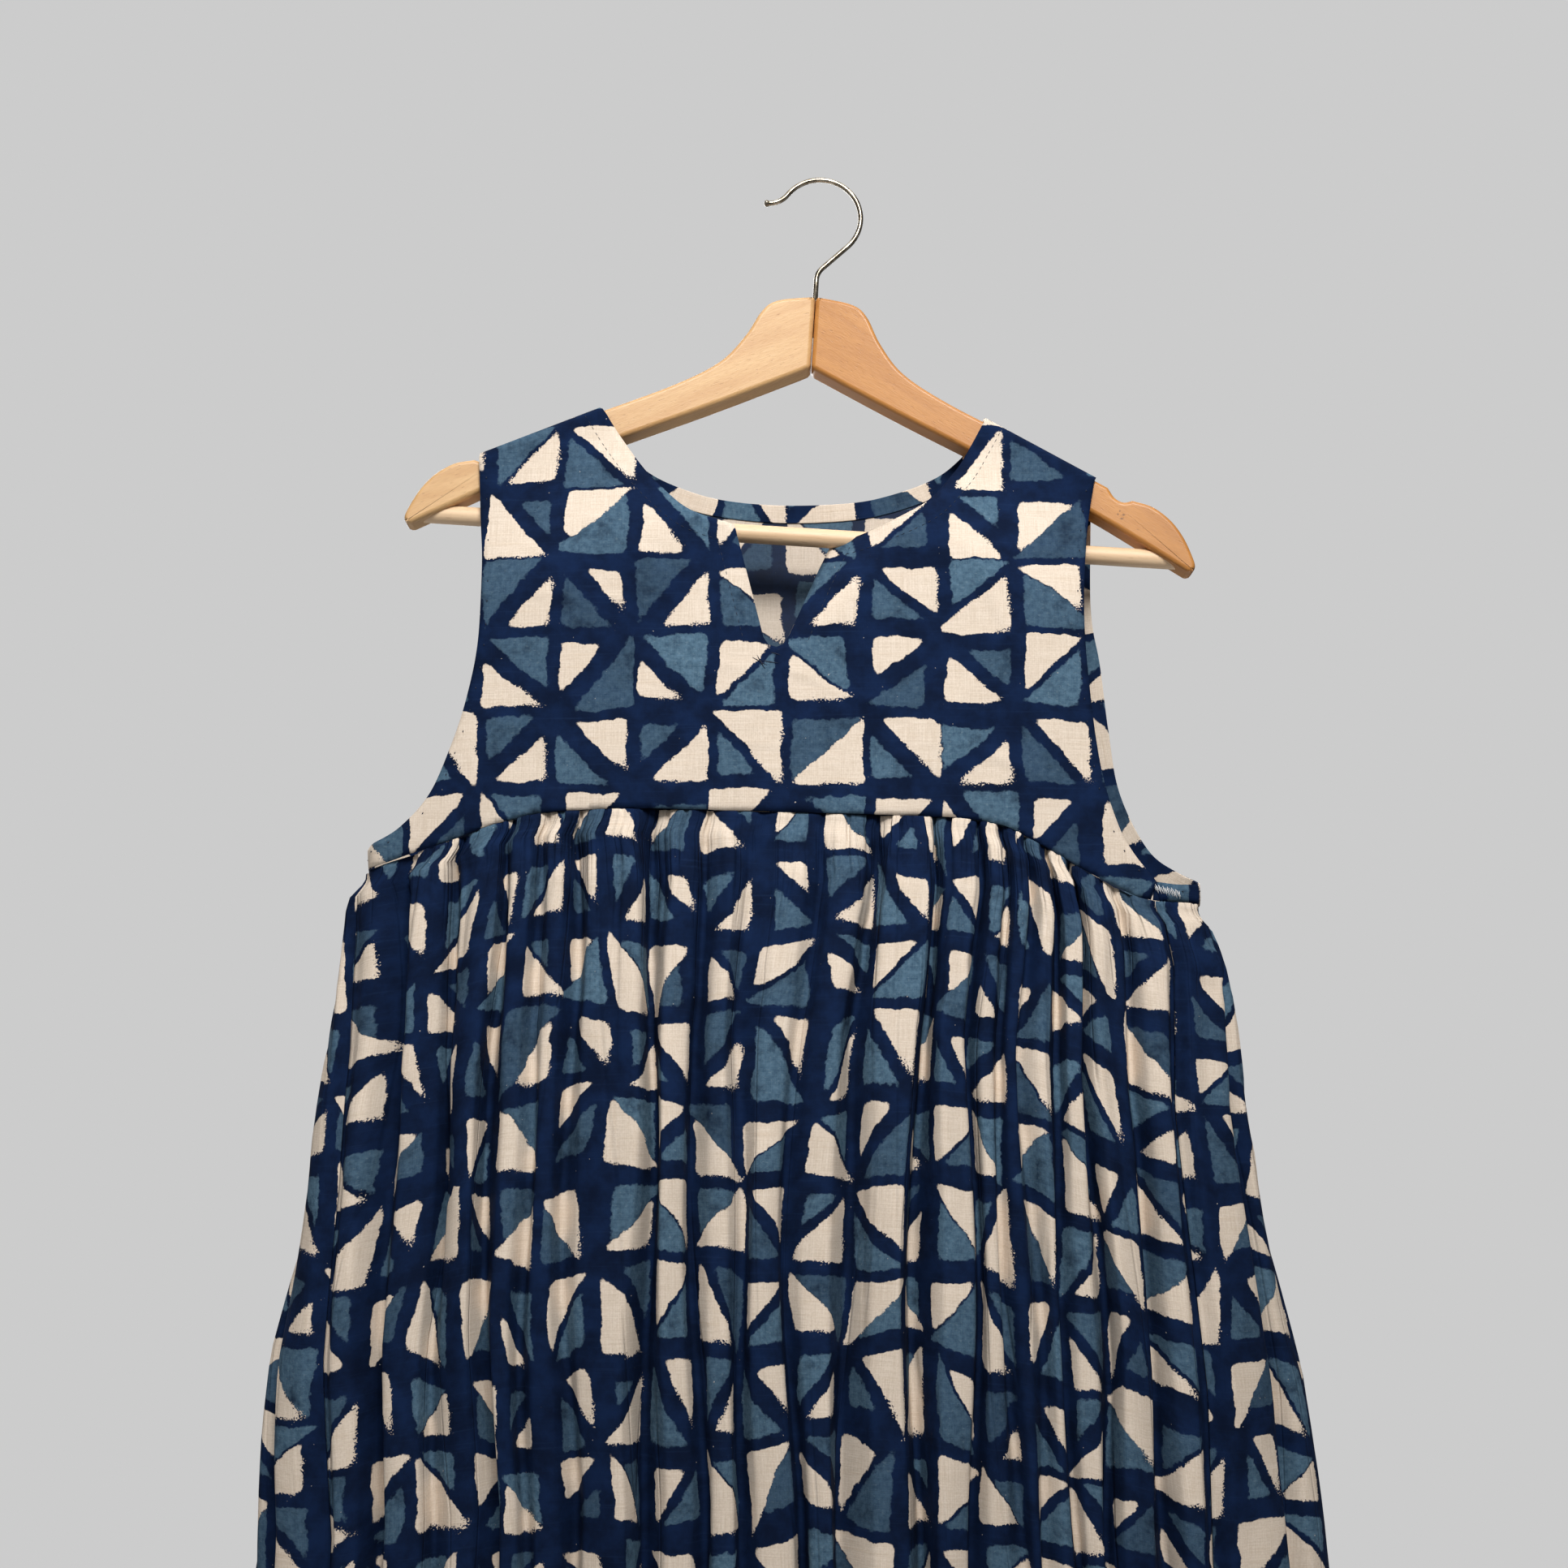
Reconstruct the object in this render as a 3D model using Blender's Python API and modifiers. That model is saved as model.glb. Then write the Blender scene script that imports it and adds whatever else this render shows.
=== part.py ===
"""A sleeveless printed cotton dress with a straight yoke and a gathered skirt, hanging on a wooden hanger.

Metres, +Z up, front towards -Y. The origin is the point where a rail touches the inside of the hook.
Each cloth piece is a flat pattern that is hung: its points are carried onto rings that stand for the
hanging dress, and the sheet is then given its thickness. The hanger tips a little to one side.
"""

import math
from collections import namedtuple

import bmesh
import bpy
import numpy as np
from mathutils import Matrix, Vector
from mathutils.geometry import delaunay_2d_cdt

# Hanger: two boards that sweep forward, a dowel and a wire hook
WIRE = 0.003
CROOK_RADIUS = 0.024
CROOK_START = math.radians(-48)
CROOK_END = math.radians(142)
CURL_RADIUS = 0.014
CURL_TURN = math.radians(52)
TIP_BALL = 1.35
SHANK_BEND = 0.005
SHANK_DEPTH = 0.022
CROWN = Vector((-0.0027, 0.0, -0.0739))
TILT = math.radians(3.7)
SWEEP = math.radians(7.2)
BOARD = 0.018
BOARD_ROUND = 0.0024
DOWEL = 0.0105
DOWEL_HALF = 0.212
DOWEL_DROP = 0.1505
FIT = 0.0003
CROWN_HEIGHT = 0.0439

# Top edge of a board, from the crown out to the notch (out, up)
BOARD_CROWN = ((0.0, 0.0), (0.0215, -0.0047), (0.0305, -0.0122), (0.0392, -0.0286), (0.053, -0.046),
               (0.078, -0.0625), (0.118, -0.083))
BOARD_NOTCH = ((0.1715, -0.1114), (0.1756, -0.1172), (0.1806, -0.1197), (0.1855, -0.1186))
BOARD_END = ((0.1855, -0.1186), (0.1965, -0.1219), (0.2065, -0.1292), (0.2138, -0.1385), (0.2190, -0.1490),
             (0.2212, -0.1562), (0.2185, -0.1600))

# Dress: where it hangs, and the cloth
CENTRE_X = -0.0205
CENTRE_Y = -0.020
WALL = 0.0012
SEAM_GAP = 0.0004
EASE_OVER_WOOD = 0.0023
OVER_ROUND = 0.004
OVER_BENDS = 3
FACING_WIDTH = 0.009
FACING_WALL = 0.0010
SEAM_HEIGHT = -0.3845
SEAM_TILT = 0.054
SEAM_DROP = 0.033
HEM_HEIGHT = -1.170
HEM_SIDE_DROP = 0.012
SHOULDER_LEVEL = -0.150

# Rings of the hanging dress. Station -1 is the shoulder, 0 the yoke seam and 1 the hem
Ring = namedtuple("Ring", "station half_width front back squareness shift")
RINGS = (
    Ring(-1.00, 0.2280, 0.025, 0.016, 3.0, 0.000),
    Ring(-0.55, 0.2280, 0.031, 0.024, 3.0, 0.000),
    Ring(0.000, 0.2278, 0.035, 0.031, 2.8, 0.000),
    Ring(0.006, 0.2278, 0.035, 0.031, 2.8, 0.000),
    Ring(0.017, 0.2335, 0.041, 0.036, 2.7, 0.000),
    Ring(0.048, 0.2375, 0.049, 0.043, 2.6, 0.000),
    Ring(0.130, 0.2450, 0.059, 0.051, 2.5, 0.001),
    Ring(0.220, 0.2560, 0.067, 0.057, 2.4, 0.001),
    Ring(0.340, 0.2685, 0.074, 0.062, 2.4, 0.002),
    Ring(0.460, 0.2805, 0.080, 0.066, 2.4, 0.002),
    Ring(1.000, 0.3200, 0.098, 0.082, 2.3, 0.004),
)

SEAM_HALF = RINGS[2].half_width

# Side seams at the yoke seam, measured along the cloth from the centre front
SIDE_LEFT = -0.237
SIDE_RIGHT = 0.200

# Soft ridge along which the right of the front neck turns back (across, height)
FLAP_TOP = (0.107, -0.178)
FLAP_FOOT = (0.002, -0.292)
FLAP_SLOPE = 0.62
FLAP_ROUND = 0.004

# Yoke pattern edges (across from the centre, height), all from the shoulder down
FRONT_NECK_LEFT = ((-0.105, -0.146), (-0.092, -0.169), (-0.081, -0.187), (-0.070, -0.2005), (-0.053, -0.216),
                   (-0.028, -0.2235))
FRONT_NECK_RIGHT = ((0.113, -0.156), (0.105, -0.175), (0.095, -0.195), (0.076, -0.2165), (0.044, -0.2275),
                    (0.024, -0.2310))
NOTCH_FOOT = (-0.003, -0.2935)
FRONT_ARMHOLE_LEFT = ((-0.172, -0.181), (-0.170, -0.216), (-0.168, -0.245), (-0.1685, -0.288),
                      (-0.174, -0.321), (-0.182, -0.348), (-0.194, -0.375), (-0.212, -0.393),
                      (SIDE_LEFT, -0.4035))
FRONT_ARMHOLE_RIGHT = ((0.175, -0.188), (0.168, -0.229), (0.1645, -0.272), (0.1665, -0.318), (0.172, -0.3635),
                       (0.180, -0.3915), (0.188, -0.4065), (SIDE_RIGHT, -0.4215))
BACK_NECK = ((-0.105, -0.146), (-0.095, -0.162), (-0.078, -0.1785), (-0.055, -0.1895), (-0.031, -0.1955),
             (0.0, -0.198), (0.038, -0.1965), (0.062, -0.191), (0.086, -0.1815), (0.100, -0.171),
             (0.113, -0.156))
BACK_ARMHOLE_LEFT = ((-0.172, -0.181), (-0.174, -0.238), (-0.179, -0.272), (-0.183, -0.309), (-0.188, -0.346),
                     (-0.203, -0.378), (-0.221, -0.394))
BACK_ARMHOLE_RIGHT = ((0.175, -0.188), (0.174, -0.257), (0.179, -0.292), (0.183, -0.329), (0.1885, -0.365),
                      (0.203, -0.397), (0.219, -0.411), (0.238, -0.4195), (0.262, -0.4225))

# Side seams as a share of the way round, from the centre front, at shares of the skirt's length
SEAM_STATIONS = (0.0, 0.006, 0.15, 0.25, 0.45, 1.0)
SEAM_LEFT = (None, None, -0.231, -0.216, -0.189, -0.165)
SEAM_RIGHT = (None, None, 0.188, 0.182, 0.170, 0.160)

# Large folds of each skirt panel: share across at the seam and lower down, depth and half width
Fold = namedtuple("Fold", "top low depth half_width")
FRONT_FOLDS = (
    Fold(0.083, 0.044, 0.016, 0.011),
    Fold(0.207, 0.181, 0.013, 0.010),
    Fold(0.290, 0.280, 0.012, 0.009),
    Fold(0.384, 0.365, 0.024, 0.011),
    Fold(0.513, 0.440, 0.009, 0.008),
    Fold(0.658, 0.585, 0.016, 0.010),
    Fold(0.728, 0.667, 0.024, 0.011),
    Fold(0.782, 0.728, 0.012, 0.009),
    Fold(0.894, 0.891, 0.025, 0.012),
    Fold(0.964, 0.955, 0.008, 0.008),
)
BACK_FOLDS = (
    Fold(0.070, 0.060, 0.012, 0.012),
    Fold(0.165, 0.172, 0.018, 0.013),
    Fold(0.262, 0.250, 0.010, 0.010),
    Fold(0.351, 0.368, 0.021, 0.013),
    Fold(0.470, 0.452, 0.012, 0.011),
    Fold(0.560, 0.571, 0.019, 0.013),
    Fold(0.668, 0.655, 0.011, 0.010),
    Fold(0.742, 0.760, 0.022, 0.013),
    Fold(0.861, 0.850, 0.013, 0.012),
    Fold(0.940, 0.946, 0.010, 0.011),
)
FOLDS = {"front": FRONT_FOLDS, "back": BACK_FOLDS}
GATHER_PITCH = {"front": 0.0264, "back": 0.0278}
GATHER_DEPTH = 0.0021
GATHER_SEAM_DEPTH = 0.0003
FOLD_START = 0.03
FOLD_FULL = 0.62
SKIRT_ROWS = (0.0, 0.006, 0.017, 0.048, 0.110, 0.220, 0.380, 0.620, 1.0)

# Spacing of the points that the cloth pieces are cut with
EDGE_STEP = 0.012
INSIDE_STEP = 0.017
RING_STEPS = 960

COLOURS = {
    "print": ((0.020, 0.040, 0.105), 0.85, 0.0),
    "facing": ((0.115, 0.190, 0.270), 0.88, 0.0),
    "wood": ((0.800, 0.560, 0.330), 0.45, 0.0),
    "dowel": ((0.830, 0.640, 0.440), 0.50, 0.0),
    "steel": ((0.560, 0.560, 0.570), 0.18, 1.0),
}


def clear_scene():
    for old in list(bpy.data.objects):
        bpy.data.objects.remove(old, do_unlink=True)


def material(name):
    colour, roughness, metallic = COLOURS[name]
    made = bpy.data.materials.new(name)
    made.use_nodes = True
    shader = made.node_tree.nodes["Principled BSDF"]
    shader.inputs["Base Color"].default_value = (*colour, 1.0)
    shader.inputs["Roughness"].default_value = roughness
    shader.inputs["Metallic"].default_value = metallic
    return made


def smoothstep(value):
    share = np.clip(value, 0.0, 1.0)
    return share * share * (3 - 2 * share)


def curve_through(points, samples):
    """Points along a smooth curve through the given ones, evenly spaced by length."""
    spots = np.array(points, float)
    before = 2 * spots[0] - spots[1]
    after = 2 * spots[-1] - spots[-2]
    padded = np.vstack([before, spots, after])
    share = np.linspace(0, 1, 13)[:-1, None]
    parts = []
    for p0, p1, p2, p3 in zip(padded, padded[1:], padded[2:], padded[3:]):
        bend = 2 * p1 + (p2 - p0) * share + (2 * p0 - 5 * p1 + 4 * p2 - p3) * share ** 2
        parts.append(0.5 * (bend + (3 * p1 - p0 - 3 * p2 + p3) * share ** 3))
    fine = np.vstack(parts + [spots[-1:]])
    length = np.concatenate([[0], np.cumsum(np.linalg.norm(np.diff(fine, axis=0), axis=1))])
    wanted = np.linspace(0, length[-1], samples)
    return np.stack([np.interp(wanted, length, fine[:, k]) for k in range(fine.shape[1])], axis=1)


def edge_through(points, step=EDGE_STEP):
    spots = np.array(points, float)
    reach = np.linalg.norm(np.diff(spots, axis=0), axis=1).sum()
    return curve_through(points, max(2, round(reach / step) + 1))


# The rings that the cloth hangs on

def ring_rows():
    """Each ring's station, length and outline, the outline read at even shares of the way round."""
    turn = np.linspace(0, 2 * math.pi, 2881)
    shares = np.linspace(0, 1, RING_STEPS + 1)
    stations, lengths, across, depth = [], [], [], []
    for ring in RINGS:
        power = 2 / ring.squareness
        side = np.sin(turn)
        fore = np.cos(turn)
        x = ring.half_width * np.sign(side) * np.abs(side) ** power
        y = -np.where(fore > 0, ring.front, ring.back) * np.sign(fore) * np.abs(fore) ** power
        length = np.concatenate([[0], np.cumsum(np.hypot(np.diff(x), np.diff(y)))])
        stations.append(ring.station)
        lengths.append(length[-1])
        across.append(np.interp(shares, length / length[-1], x) + ring.shift)
        depth.append(np.interp(shares, length / length[-1], y))
    return np.array(stations), np.array(lengths), np.array(across), np.array(depth)


STATIONS, LENGTHS, ACROSS, DEPTH = ring_rows()


def on_ring(share, station):
    """Across and depth from the dress's centre, at a share of the way round from the centre front."""
    share, station = np.broadcast_arrays(np.asarray(share, float), np.asarray(station, float))
    row = np.interp(station, STATIONS, np.arange(len(STATIONS)))
    low = np.clip(row.astype(int), 0, len(STATIONS) - 2)
    blend = row - low
    place = (share % 1.0) * RING_STEPS
    left = np.clip(place.astype(int), 0, RING_STEPS - 1)
    part = place - left

    def read(table):
        upper = table[low, left] * (1 - part) + table[low, left + 1] * part
        lower = table[low + 1, left] * (1 - part) + table[low + 1, left + 1] * part
        return upper * (1 - blend) + lower * blend

    return read(ACROSS), read(DEPTH)


def ring_length(station):
    return np.interp(station, STATIONS, LENGTHS)


def way_round(across, face, station):
    """Share of the way round for a place measured along the cloth from the centre front or back."""
    share = np.asarray(across) / ring_length(station)
    return share if face < 0 else 0.5 - share


def seam_height(across):
    """Height of the yoke seam, which drops towards the sides and tips with the hanger."""
    side = smoothstep((np.abs(across) / SEAM_HALF - 0.3) / 0.6)
    return SEAM_HEIGHT - SEAM_TILT * across - SEAM_DROP * side


# Where the hanger's boards are, for the cloth that lies over them

def on_hanger(out, up):
    """World x and z of a point of the hanger given in its own upright frame."""
    x = CROWN.x + out * math.cos(TILT) + up * math.sin(TILT)
    z = CROWN.z - out * math.sin(TILT) + up * math.cos(TILT)
    return x, z


def board_lines():
    inner, outer = BOARD_CROWN[-1], BOARD_NOTCH[0]
    slope = (outer[1] - inner[1]) / (outer[0] - inner[0])
    centre_up = inner[1] - slope * inner[0]
    ends = {}
    for side in (-1, 1):
        near = on_hanger(0.0, centre_up)
        far = on_hanger(side * outer[0], outer[1])
        ends[side] = (near[0], near[1], (far[1] - near[1]) / (far[0] - near[0]))
    return ends


BOARD_LINES = board_lines()


def over_wood(x):
    """Height of the cloth on top of a board, and the depth of the board's middle, at world x."""
    right = x > BOARD_LINES[1][0]
    x0 = np.where(right, BOARD_LINES[1][0], BOARD_LINES[-1][0])
    z0 = np.where(right, BOARD_LINES[1][1], BOARD_LINES[-1][1])
    slope = np.where(right, BOARD_LINES[1][2], BOARD_LINES[-1][2])
    return z0 + slope * (x - x0) + EASE_OVER_WOOD, -np.abs(x - x0) * math.tan(SWEEP)


OVER_REACH = BOARD / 2 + EASE_OVER_WOOD
OVER_LENGTH = 0.5 * math.pi * math.sqrt((OVER_REACH ** 2 + OVER_ROUND ** 2) / 2)
OVER_EXTRA = OVER_LENGTH - OVER_ROUND


def yoke_points(pattern, face, lift=0.0):
    """Carries yoke pattern points (across, height) onto the dress. face is -1 in front, 1 behind."""
    across, height = np.asarray(pattern, float).T
    seam_x, _ = on_ring(way_round(across, face, 0.0), 0.0)
    drop = seam_height(seam_x)
    station = -np.clip((height - drop) / (SHOULDER_LEVEL - drop), 0.0, 1.0)
    x, y = on_ring(way_round(across, face, station), station)
    top, middle = over_wood(CENTRE_X + x)
    below = top + OVER_EXTRA - height
    turn = np.clip(below / OVER_LENGTH, 0.0, 1.0) * math.pi / 2
    board_y = middle + face * OVER_REACH * np.sin(turn)
    z = np.where(below < OVER_LENGTH, top - OVER_ROUND * (1 - np.cos(turn)), height)
    free = smoothstep((below - OVER_LENGTH) / 0.10)
    y = board_y * (1 - free) + (CENTRE_Y + y) * free
    if face < 0:
        y = y + flap_turn(across, height)
    points = np.stack([CENTRE_X + x, y, z], axis=1)
    if lift:
        points += lift * yoke_normals(pattern, face)
    return points


def flap_turn(across, height):
    """How far back the cloth turns beyond the soft ridge at the right of the neck."""
    top, foot = np.array(FLAP_TOP), np.array(FLAP_FOOT)
    run = (foot - top) / np.linalg.norm(foot - top)
    beyond = (across - top[0]) * run[1] - (height - top[1]) * run[0]
    near = smoothstep((across + 0.004) / 0.02) * smoothstep((-0.165 - height) / 0.03)
    return near * FLAP_SLOPE * FLAP_ROUND * np.log1p(np.exp(np.clip(beyond / FLAP_ROUND, -30, 30)))


def yoke_normals(pattern, face):
    """Unit normals that point out of the dress, by small steps on the pattern."""
    pattern = np.asarray(pattern, float)
    step = 0.0015
    ahead = yoke_points(pattern + (step, 0), face) - yoke_points(pattern - (step, 0), face)
    rise = yoke_points(pattern + (0, step), face) - yoke_points(pattern - (0, step), face)
    normal = np.cross(ahead, rise) * -face
    return normal / np.linalg.norm(normal, axis=1)[:, None]


# Cutting and hanging the pieces

def add_object(name, mesh, surface, group):
    mesh.materials.append(surface)
    mesh.shade_smooth()
    made = bpy.data.objects.new(name, mesh)
    group.objects.link(made)
    return made


def thicken(made, wall):
    solidify = made.modifiers.new("wall", "SOLIDIFY")
    solidify.thickness = wall
    solidify.offset = 1.0


def cut_flat(outline, lines, step):
    """Triangles that fill a flat outline and follow the lines, with points inside on a regular grid."""
    outline = np.asarray(outline, float)
    low, high = outline.min(axis=0), outline.max(axis=0)
    columns = np.arange(low[0] + step / 2, high[0], step)
    rows = np.arange(low[1] + step / 2, high[1], step)
    spots = np.array([(a, b) for b in rows for a in columns])
    keep = inside(spots, outline) & (edge_distance(spots, outline, True) > step * 0.45)
    for line in lines:
        keep &= edge_distance(spots, line, False) > step * 0.4
    points = [*outline, *spots[keep]]
    edges = [(k, (k + 1) % len(outline)) for k in range(len(outline))]
    for line in lines:
        edges += [(len(points) + k, len(points) + k + 1) for k in range(len(line) - 1)]
        points += [*line]
    corners = [Vector(p) for p in points]
    done, _, faces, _, _, _ = delaunay_2d_cdt(corners, edges, [], 1, 1e-6)
    return np.array([tuple(p) for p in done]), [tuple(face) for face in faces]


def inside(spots, outline):
    ahead = np.roll(outline, -1, axis=0)
    x, y = spots[:, :1], spots[:, 1:]
    crosses = (outline[:, 1] > y) != (ahead[:, 1] > y)
    rise = np.where(ahead[:, 1] == outline[:, 1], 1e-12, ahead[:, 1] - outline[:, 1])
    meets = (ahead[:, 0] - outline[:, 0]) * (y - outline[:, 1]) / rise + outline[:, 0]
    return (crosses & (x < meets)).sum(axis=1) % 2 == 1


def edge_distance(spots, line, closed):
    run = np.roll(line, -1, axis=0) - line
    if not closed:
        run[-1] = 0
    offset = spots[:, None, :] - line[None, :, :]
    share = np.clip((offset * run).sum(axis=2) / np.maximum((run ** 2).sum(axis=1), 1e-12), 0, 1)
    return np.linalg.norm(offset - share[:, :, None] * run, axis=2).min(axis=1)


def hang_yoke_piece(name, flat, faces, face, wall, lift, surface, group):
    """Hangs flat triangles of a yoke piece, lifted off the cloth, and gives them thickness."""
    used = sorted({corner for triangle in faces for corner in triangle})
    place = {corner: k for k, corner in enumerate(used)}
    faces = [tuple(place[corner] for corner in triangle) for triangle in faces]
    flat = flat[used]
    mesh = bpy.data.meshes.new(name)
    mesh.from_pydata(yoke_points(flat, face, lift).tolist(), [], faces)
    work = bmesh.new()
    work.from_mesh(mesh)
    outward = Vector(yoke_normals(flat[:1], face)[0])
    work.verts.ensure_lookup_table()
    if work.verts[0].link_faces[0].normal.dot(outward) < 0:
        bmesh.ops.reverse_faces(work, faces=work.faces)
    work.to_mesh(mesh)
    work.free()
    made = add_object(name, mesh, surface, group)
    thicken(made, wall)
    return made


def raised(edge):
    """An edge with its shoulder end carried on over the top of the board."""
    edge = np.array(edge, float)
    top = edge[0] + (0.0, OVER_EXTRA)
    top[1] = over_wood(CENTRE_X + top[0])[0] + OVER_EXTRA - SEAM_GAP / 2
    return np.vstack([top, edge[0], edge[1:]])


def back_armhole(side):
    """A back armhole edge, carried on to the side seam."""
    edge = BACK_ARMHOLE_LEFT if side < 0 else BACK_ARMHOLE_RIGHT
    front = FRONT_ARMHOLE_LEFT if side < 0 else FRONT_ARMHOLE_RIGHT
    seam = side * (ring_length(0.0) / 2 - abs(front[-1][0]) - SEAM_GAP)
    return (*edge, (seam, front[-1][1]))


def yoke_edges():
    """The pattern edges of both yoke pieces, each from the shoulder down."""
    return {
        "front_neck_left": raised(edge_through(FRONT_NECK_LEFT)),
        "front_neck_right": raised(edge_through(FRONT_NECK_RIGHT)),
        "front_arm_left": raised(edge_through(FRONT_ARMHOLE_LEFT)),
        "front_arm_right": raised(edge_through(FRONT_ARMHOLE_RIGHT)),
        "back_arm_left": raised(edge_through(back_armhole(-1))),
        "back_arm_right": raised(edge_through(back_armhole(1))),
    }


def shoulder_between(start, end):
    share = np.linspace(0, 1, 8)[1:-1, None]
    line = start + (end - start) * share
    line[:, 1] = over_wood(CENTRE_X + line[:, 0])[0] + OVER_EXTRA - SEAM_GAP / 2
    return line


def lines_over_wood(neck, arm):
    """Lines beside a shoulder seam, on which the cloth bends over the board."""
    share = np.linspace(-0.14, 1.14, 9)[:, None]
    seam = neck + (arm - neck) * share
    return [seam - (0.0, OVER_LENGTH * k / OVER_BENDS) for k in range(1, OVER_BENDS + 1)]


def seam_between(left, right, face):
    """The lower edge of a yoke piece, from its left side seam to its right one."""
    across = np.linspace(left, right, round((right - left) / EDGE_STEP) + 1)
    seam_x, _ = on_ring(way_round(across, face, 0.0), 0.0)
    return np.stack([across, seam_height(seam_x) + SEAM_GAP / 2], axis=1)


def neck_line():
    """The front neck edge from the left shoulder down into the notch and up to the right shoulder."""
    notch_left = edge_through((FRONT_NECK_LEFT[-1], NOTCH_FOOT))[1:]
    notch_right = edge_through((NOTCH_FOOT, FRONT_NECK_RIGHT[-1]))[1:-1]
    left, right = edge_through(FRONT_NECK_LEFT), edge_through(FRONT_NECK_RIGHT)
    return np.vstack([left, notch_left, notch_right, right[::-1]])


def front_outline(edges):
    neck_left, neck_right = edges["front_neck_left"][0], edges["front_neck_right"][0]
    left, right = edges["front_arm_left"], edges["front_arm_right"]
    seam = seam_between(left[-1][0], right[-1][0], -1)
    return np.vstack([
        [neck_left], neck_line(), [neck_right], shoulder_between(neck_right, right[0]), right, seam[::-1],
        left[::-1], shoulder_between(left[0], neck_left),
    ])


def back_outline(edges):
    neck = edge_through(BACK_NECK)
    neck_left = edges["front_neck_left"][0]
    neck_right = edges["front_neck_right"][0]
    left, right = edges["back_arm_left"], edges["back_arm_right"]
    seam = seam_between(left[-1][0], right[-1][0], 1)
    return np.vstack([
        [neck_left], neck, [neck_right], shoulder_between(neck_right, right[0]), right, seam[::-1],
        left[::-1], shoulder_between(left[0], neck_left),
    ])


def strip_line(edge, face, side):
    """The inner edge of a facing, on the side of the cloth's edge given by -1 or 1, above the yoke seam."""
    run = np.gradient(edge, axis=0)
    run /= np.linalg.norm(run, axis=1)[:, None]
    far = edge + np.stack([-run[:, 1], run[:, 0]], axis=1) * side * FACING_WIDTH
    seam_x, _ = on_ring(way_round(far[:, 0], face, 0.0), 0.0)
    far[:, 1] = np.maximum(far[:, 1], seam_height(seam_x) + 3 * SEAM_GAP)
    return np.vstack([edge[:1], far[1:-1], edge[-1:]])


def facing_edges(face):
    """The edges that a yoke piece is faced along: name, points and the side that the cloth lies on."""
    if face < 0:
        return (
            ("facing_neck_front", neck_line()[1:-1], -1),
            ("facing_armhole_front_left", edge_through(FRONT_ARMHOLE_LEFT)[1:-1], 1),
            ("facing_armhole_front_right", edge_through(FRONT_ARMHOLE_RIGHT)[1:-1], -1),
        )
    return (
        ("facing_neck_back", edge_through(BACK_NECK)[1:-1], -1),
        ("facing_armhole_back_left", edge_through(back_armhole(-1))[1:-1], 1),
        ("facing_armhole_back_right", edge_through(back_armhole(1))[1:-1], -1),
    )


def hang_yoke(name, outline, bends, face, print_cloth, facing_cloth, group):
    """One yoke piece, and the turned-in strips that finish its neck and armholes, made of its own points."""
    edges = facing_edges(face)
    lines = [strip_line(points, face, side) for _, points, side in edges]
    flat, faces = cut_flat(outline, lines + bends, INSIDE_STEP)
    hang_yoke_piece(name, flat, faces, face, WALL, 0.0, print_cloth, group)
    middles = flat[np.array(faces)].mean(axis=1)
    for (strip, points, _), line in zip(edges, lines):
        within = inside(middles, np.vstack([points, line[1:-1][::-1]]))
        chosen = [triangle for triangle, kept in zip(faces, within) if kept]
        hang_yoke_piece(strip, flat, chosen, face, FACING_WALL, -(FIT + FACING_WALL), facing_cloth, group)


# Skirt

def gather_marks(panel):
    """Where the gathers lie along the seam: unevenly, with one at each large fold."""
    folds = FOLDS[panel]
    tops = [0.0] + [fold.top for fold in folds] + [1.0]
    marks = []
    for start, end in zip(tops, tops[1:]):
        count = max(1, round((end - start) / GATHER_PITCH[panel]))
        for k in range(count):
            drift = 0.16 * math.sin(2.4 * len(marks) + 1.1 * k)
            marks.append(start + (end - start) * (k + (drift if k else 0.0)) / count)
    return np.array(marks + [1.0])


def fold_share(top_share, station, folds):
    """Share across the panel of a thread that starts at top_share, at a share of the length."""
    tops = [0.0] + [fold.top for fold in folds] + [1.0]
    lows = [0.0] + [fold.low for fold in folds] + [1.0]
    settled = 1 - (1 - np.clip(station / 0.5, 0, 1)) ** 2
    return top_share + (np.interp(top_share, tops, lows) - top_share) * settled


def fold_depth(top_share, station, panel, marks, panel_width):
    """How far in from the ring the cloth lies."""
    folds = FOLDS[panel]
    share = fold_share(top_share, station, folds)
    full = smoothstep((station - FOLD_START) / (FOLD_FULL - FOLD_START))
    growth = 0.75 * full + 0.25 * smoothstep(station / 0.12)
    inward = np.zeros_like(share)
    for fold in folds:
        away = (share - fold_share(np.float64(fold.top), station, folds)) * panel_width / fold.half_width
        inward = inward + fold.depth * growth * np.exp(-away ** 2)
    phase = np.interp(top_share, marks, np.arange(len(marks)))
    rise = smoothstep(station / 0.02)
    fade = 1 - smoothstep((station - 0.07) / 0.45)
    uneven = 0.8 + 0.35 * np.sin(1.9 * np.floor(phase + 0.5))
    side = smoothstep(np.minimum(top_share, 1 - top_share) / 0.012)
    gather = (GATHER_SEAM_DEPTH + (GATHER_DEPTH - GATHER_SEAM_DEPTH) * rise) * fade * uneven * side
    return inward * side + gather * np.cos(2 * math.pi * phase)


def side_seam(shares, start, station):
    """Share of the way round at which a side seam hangs; it starts where the yoke's side seam ends."""
    along = [start / ring_length(0.0) if share is None else share for share in shares]
    return np.interp(station, SEAM_STATIONS, along)


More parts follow.
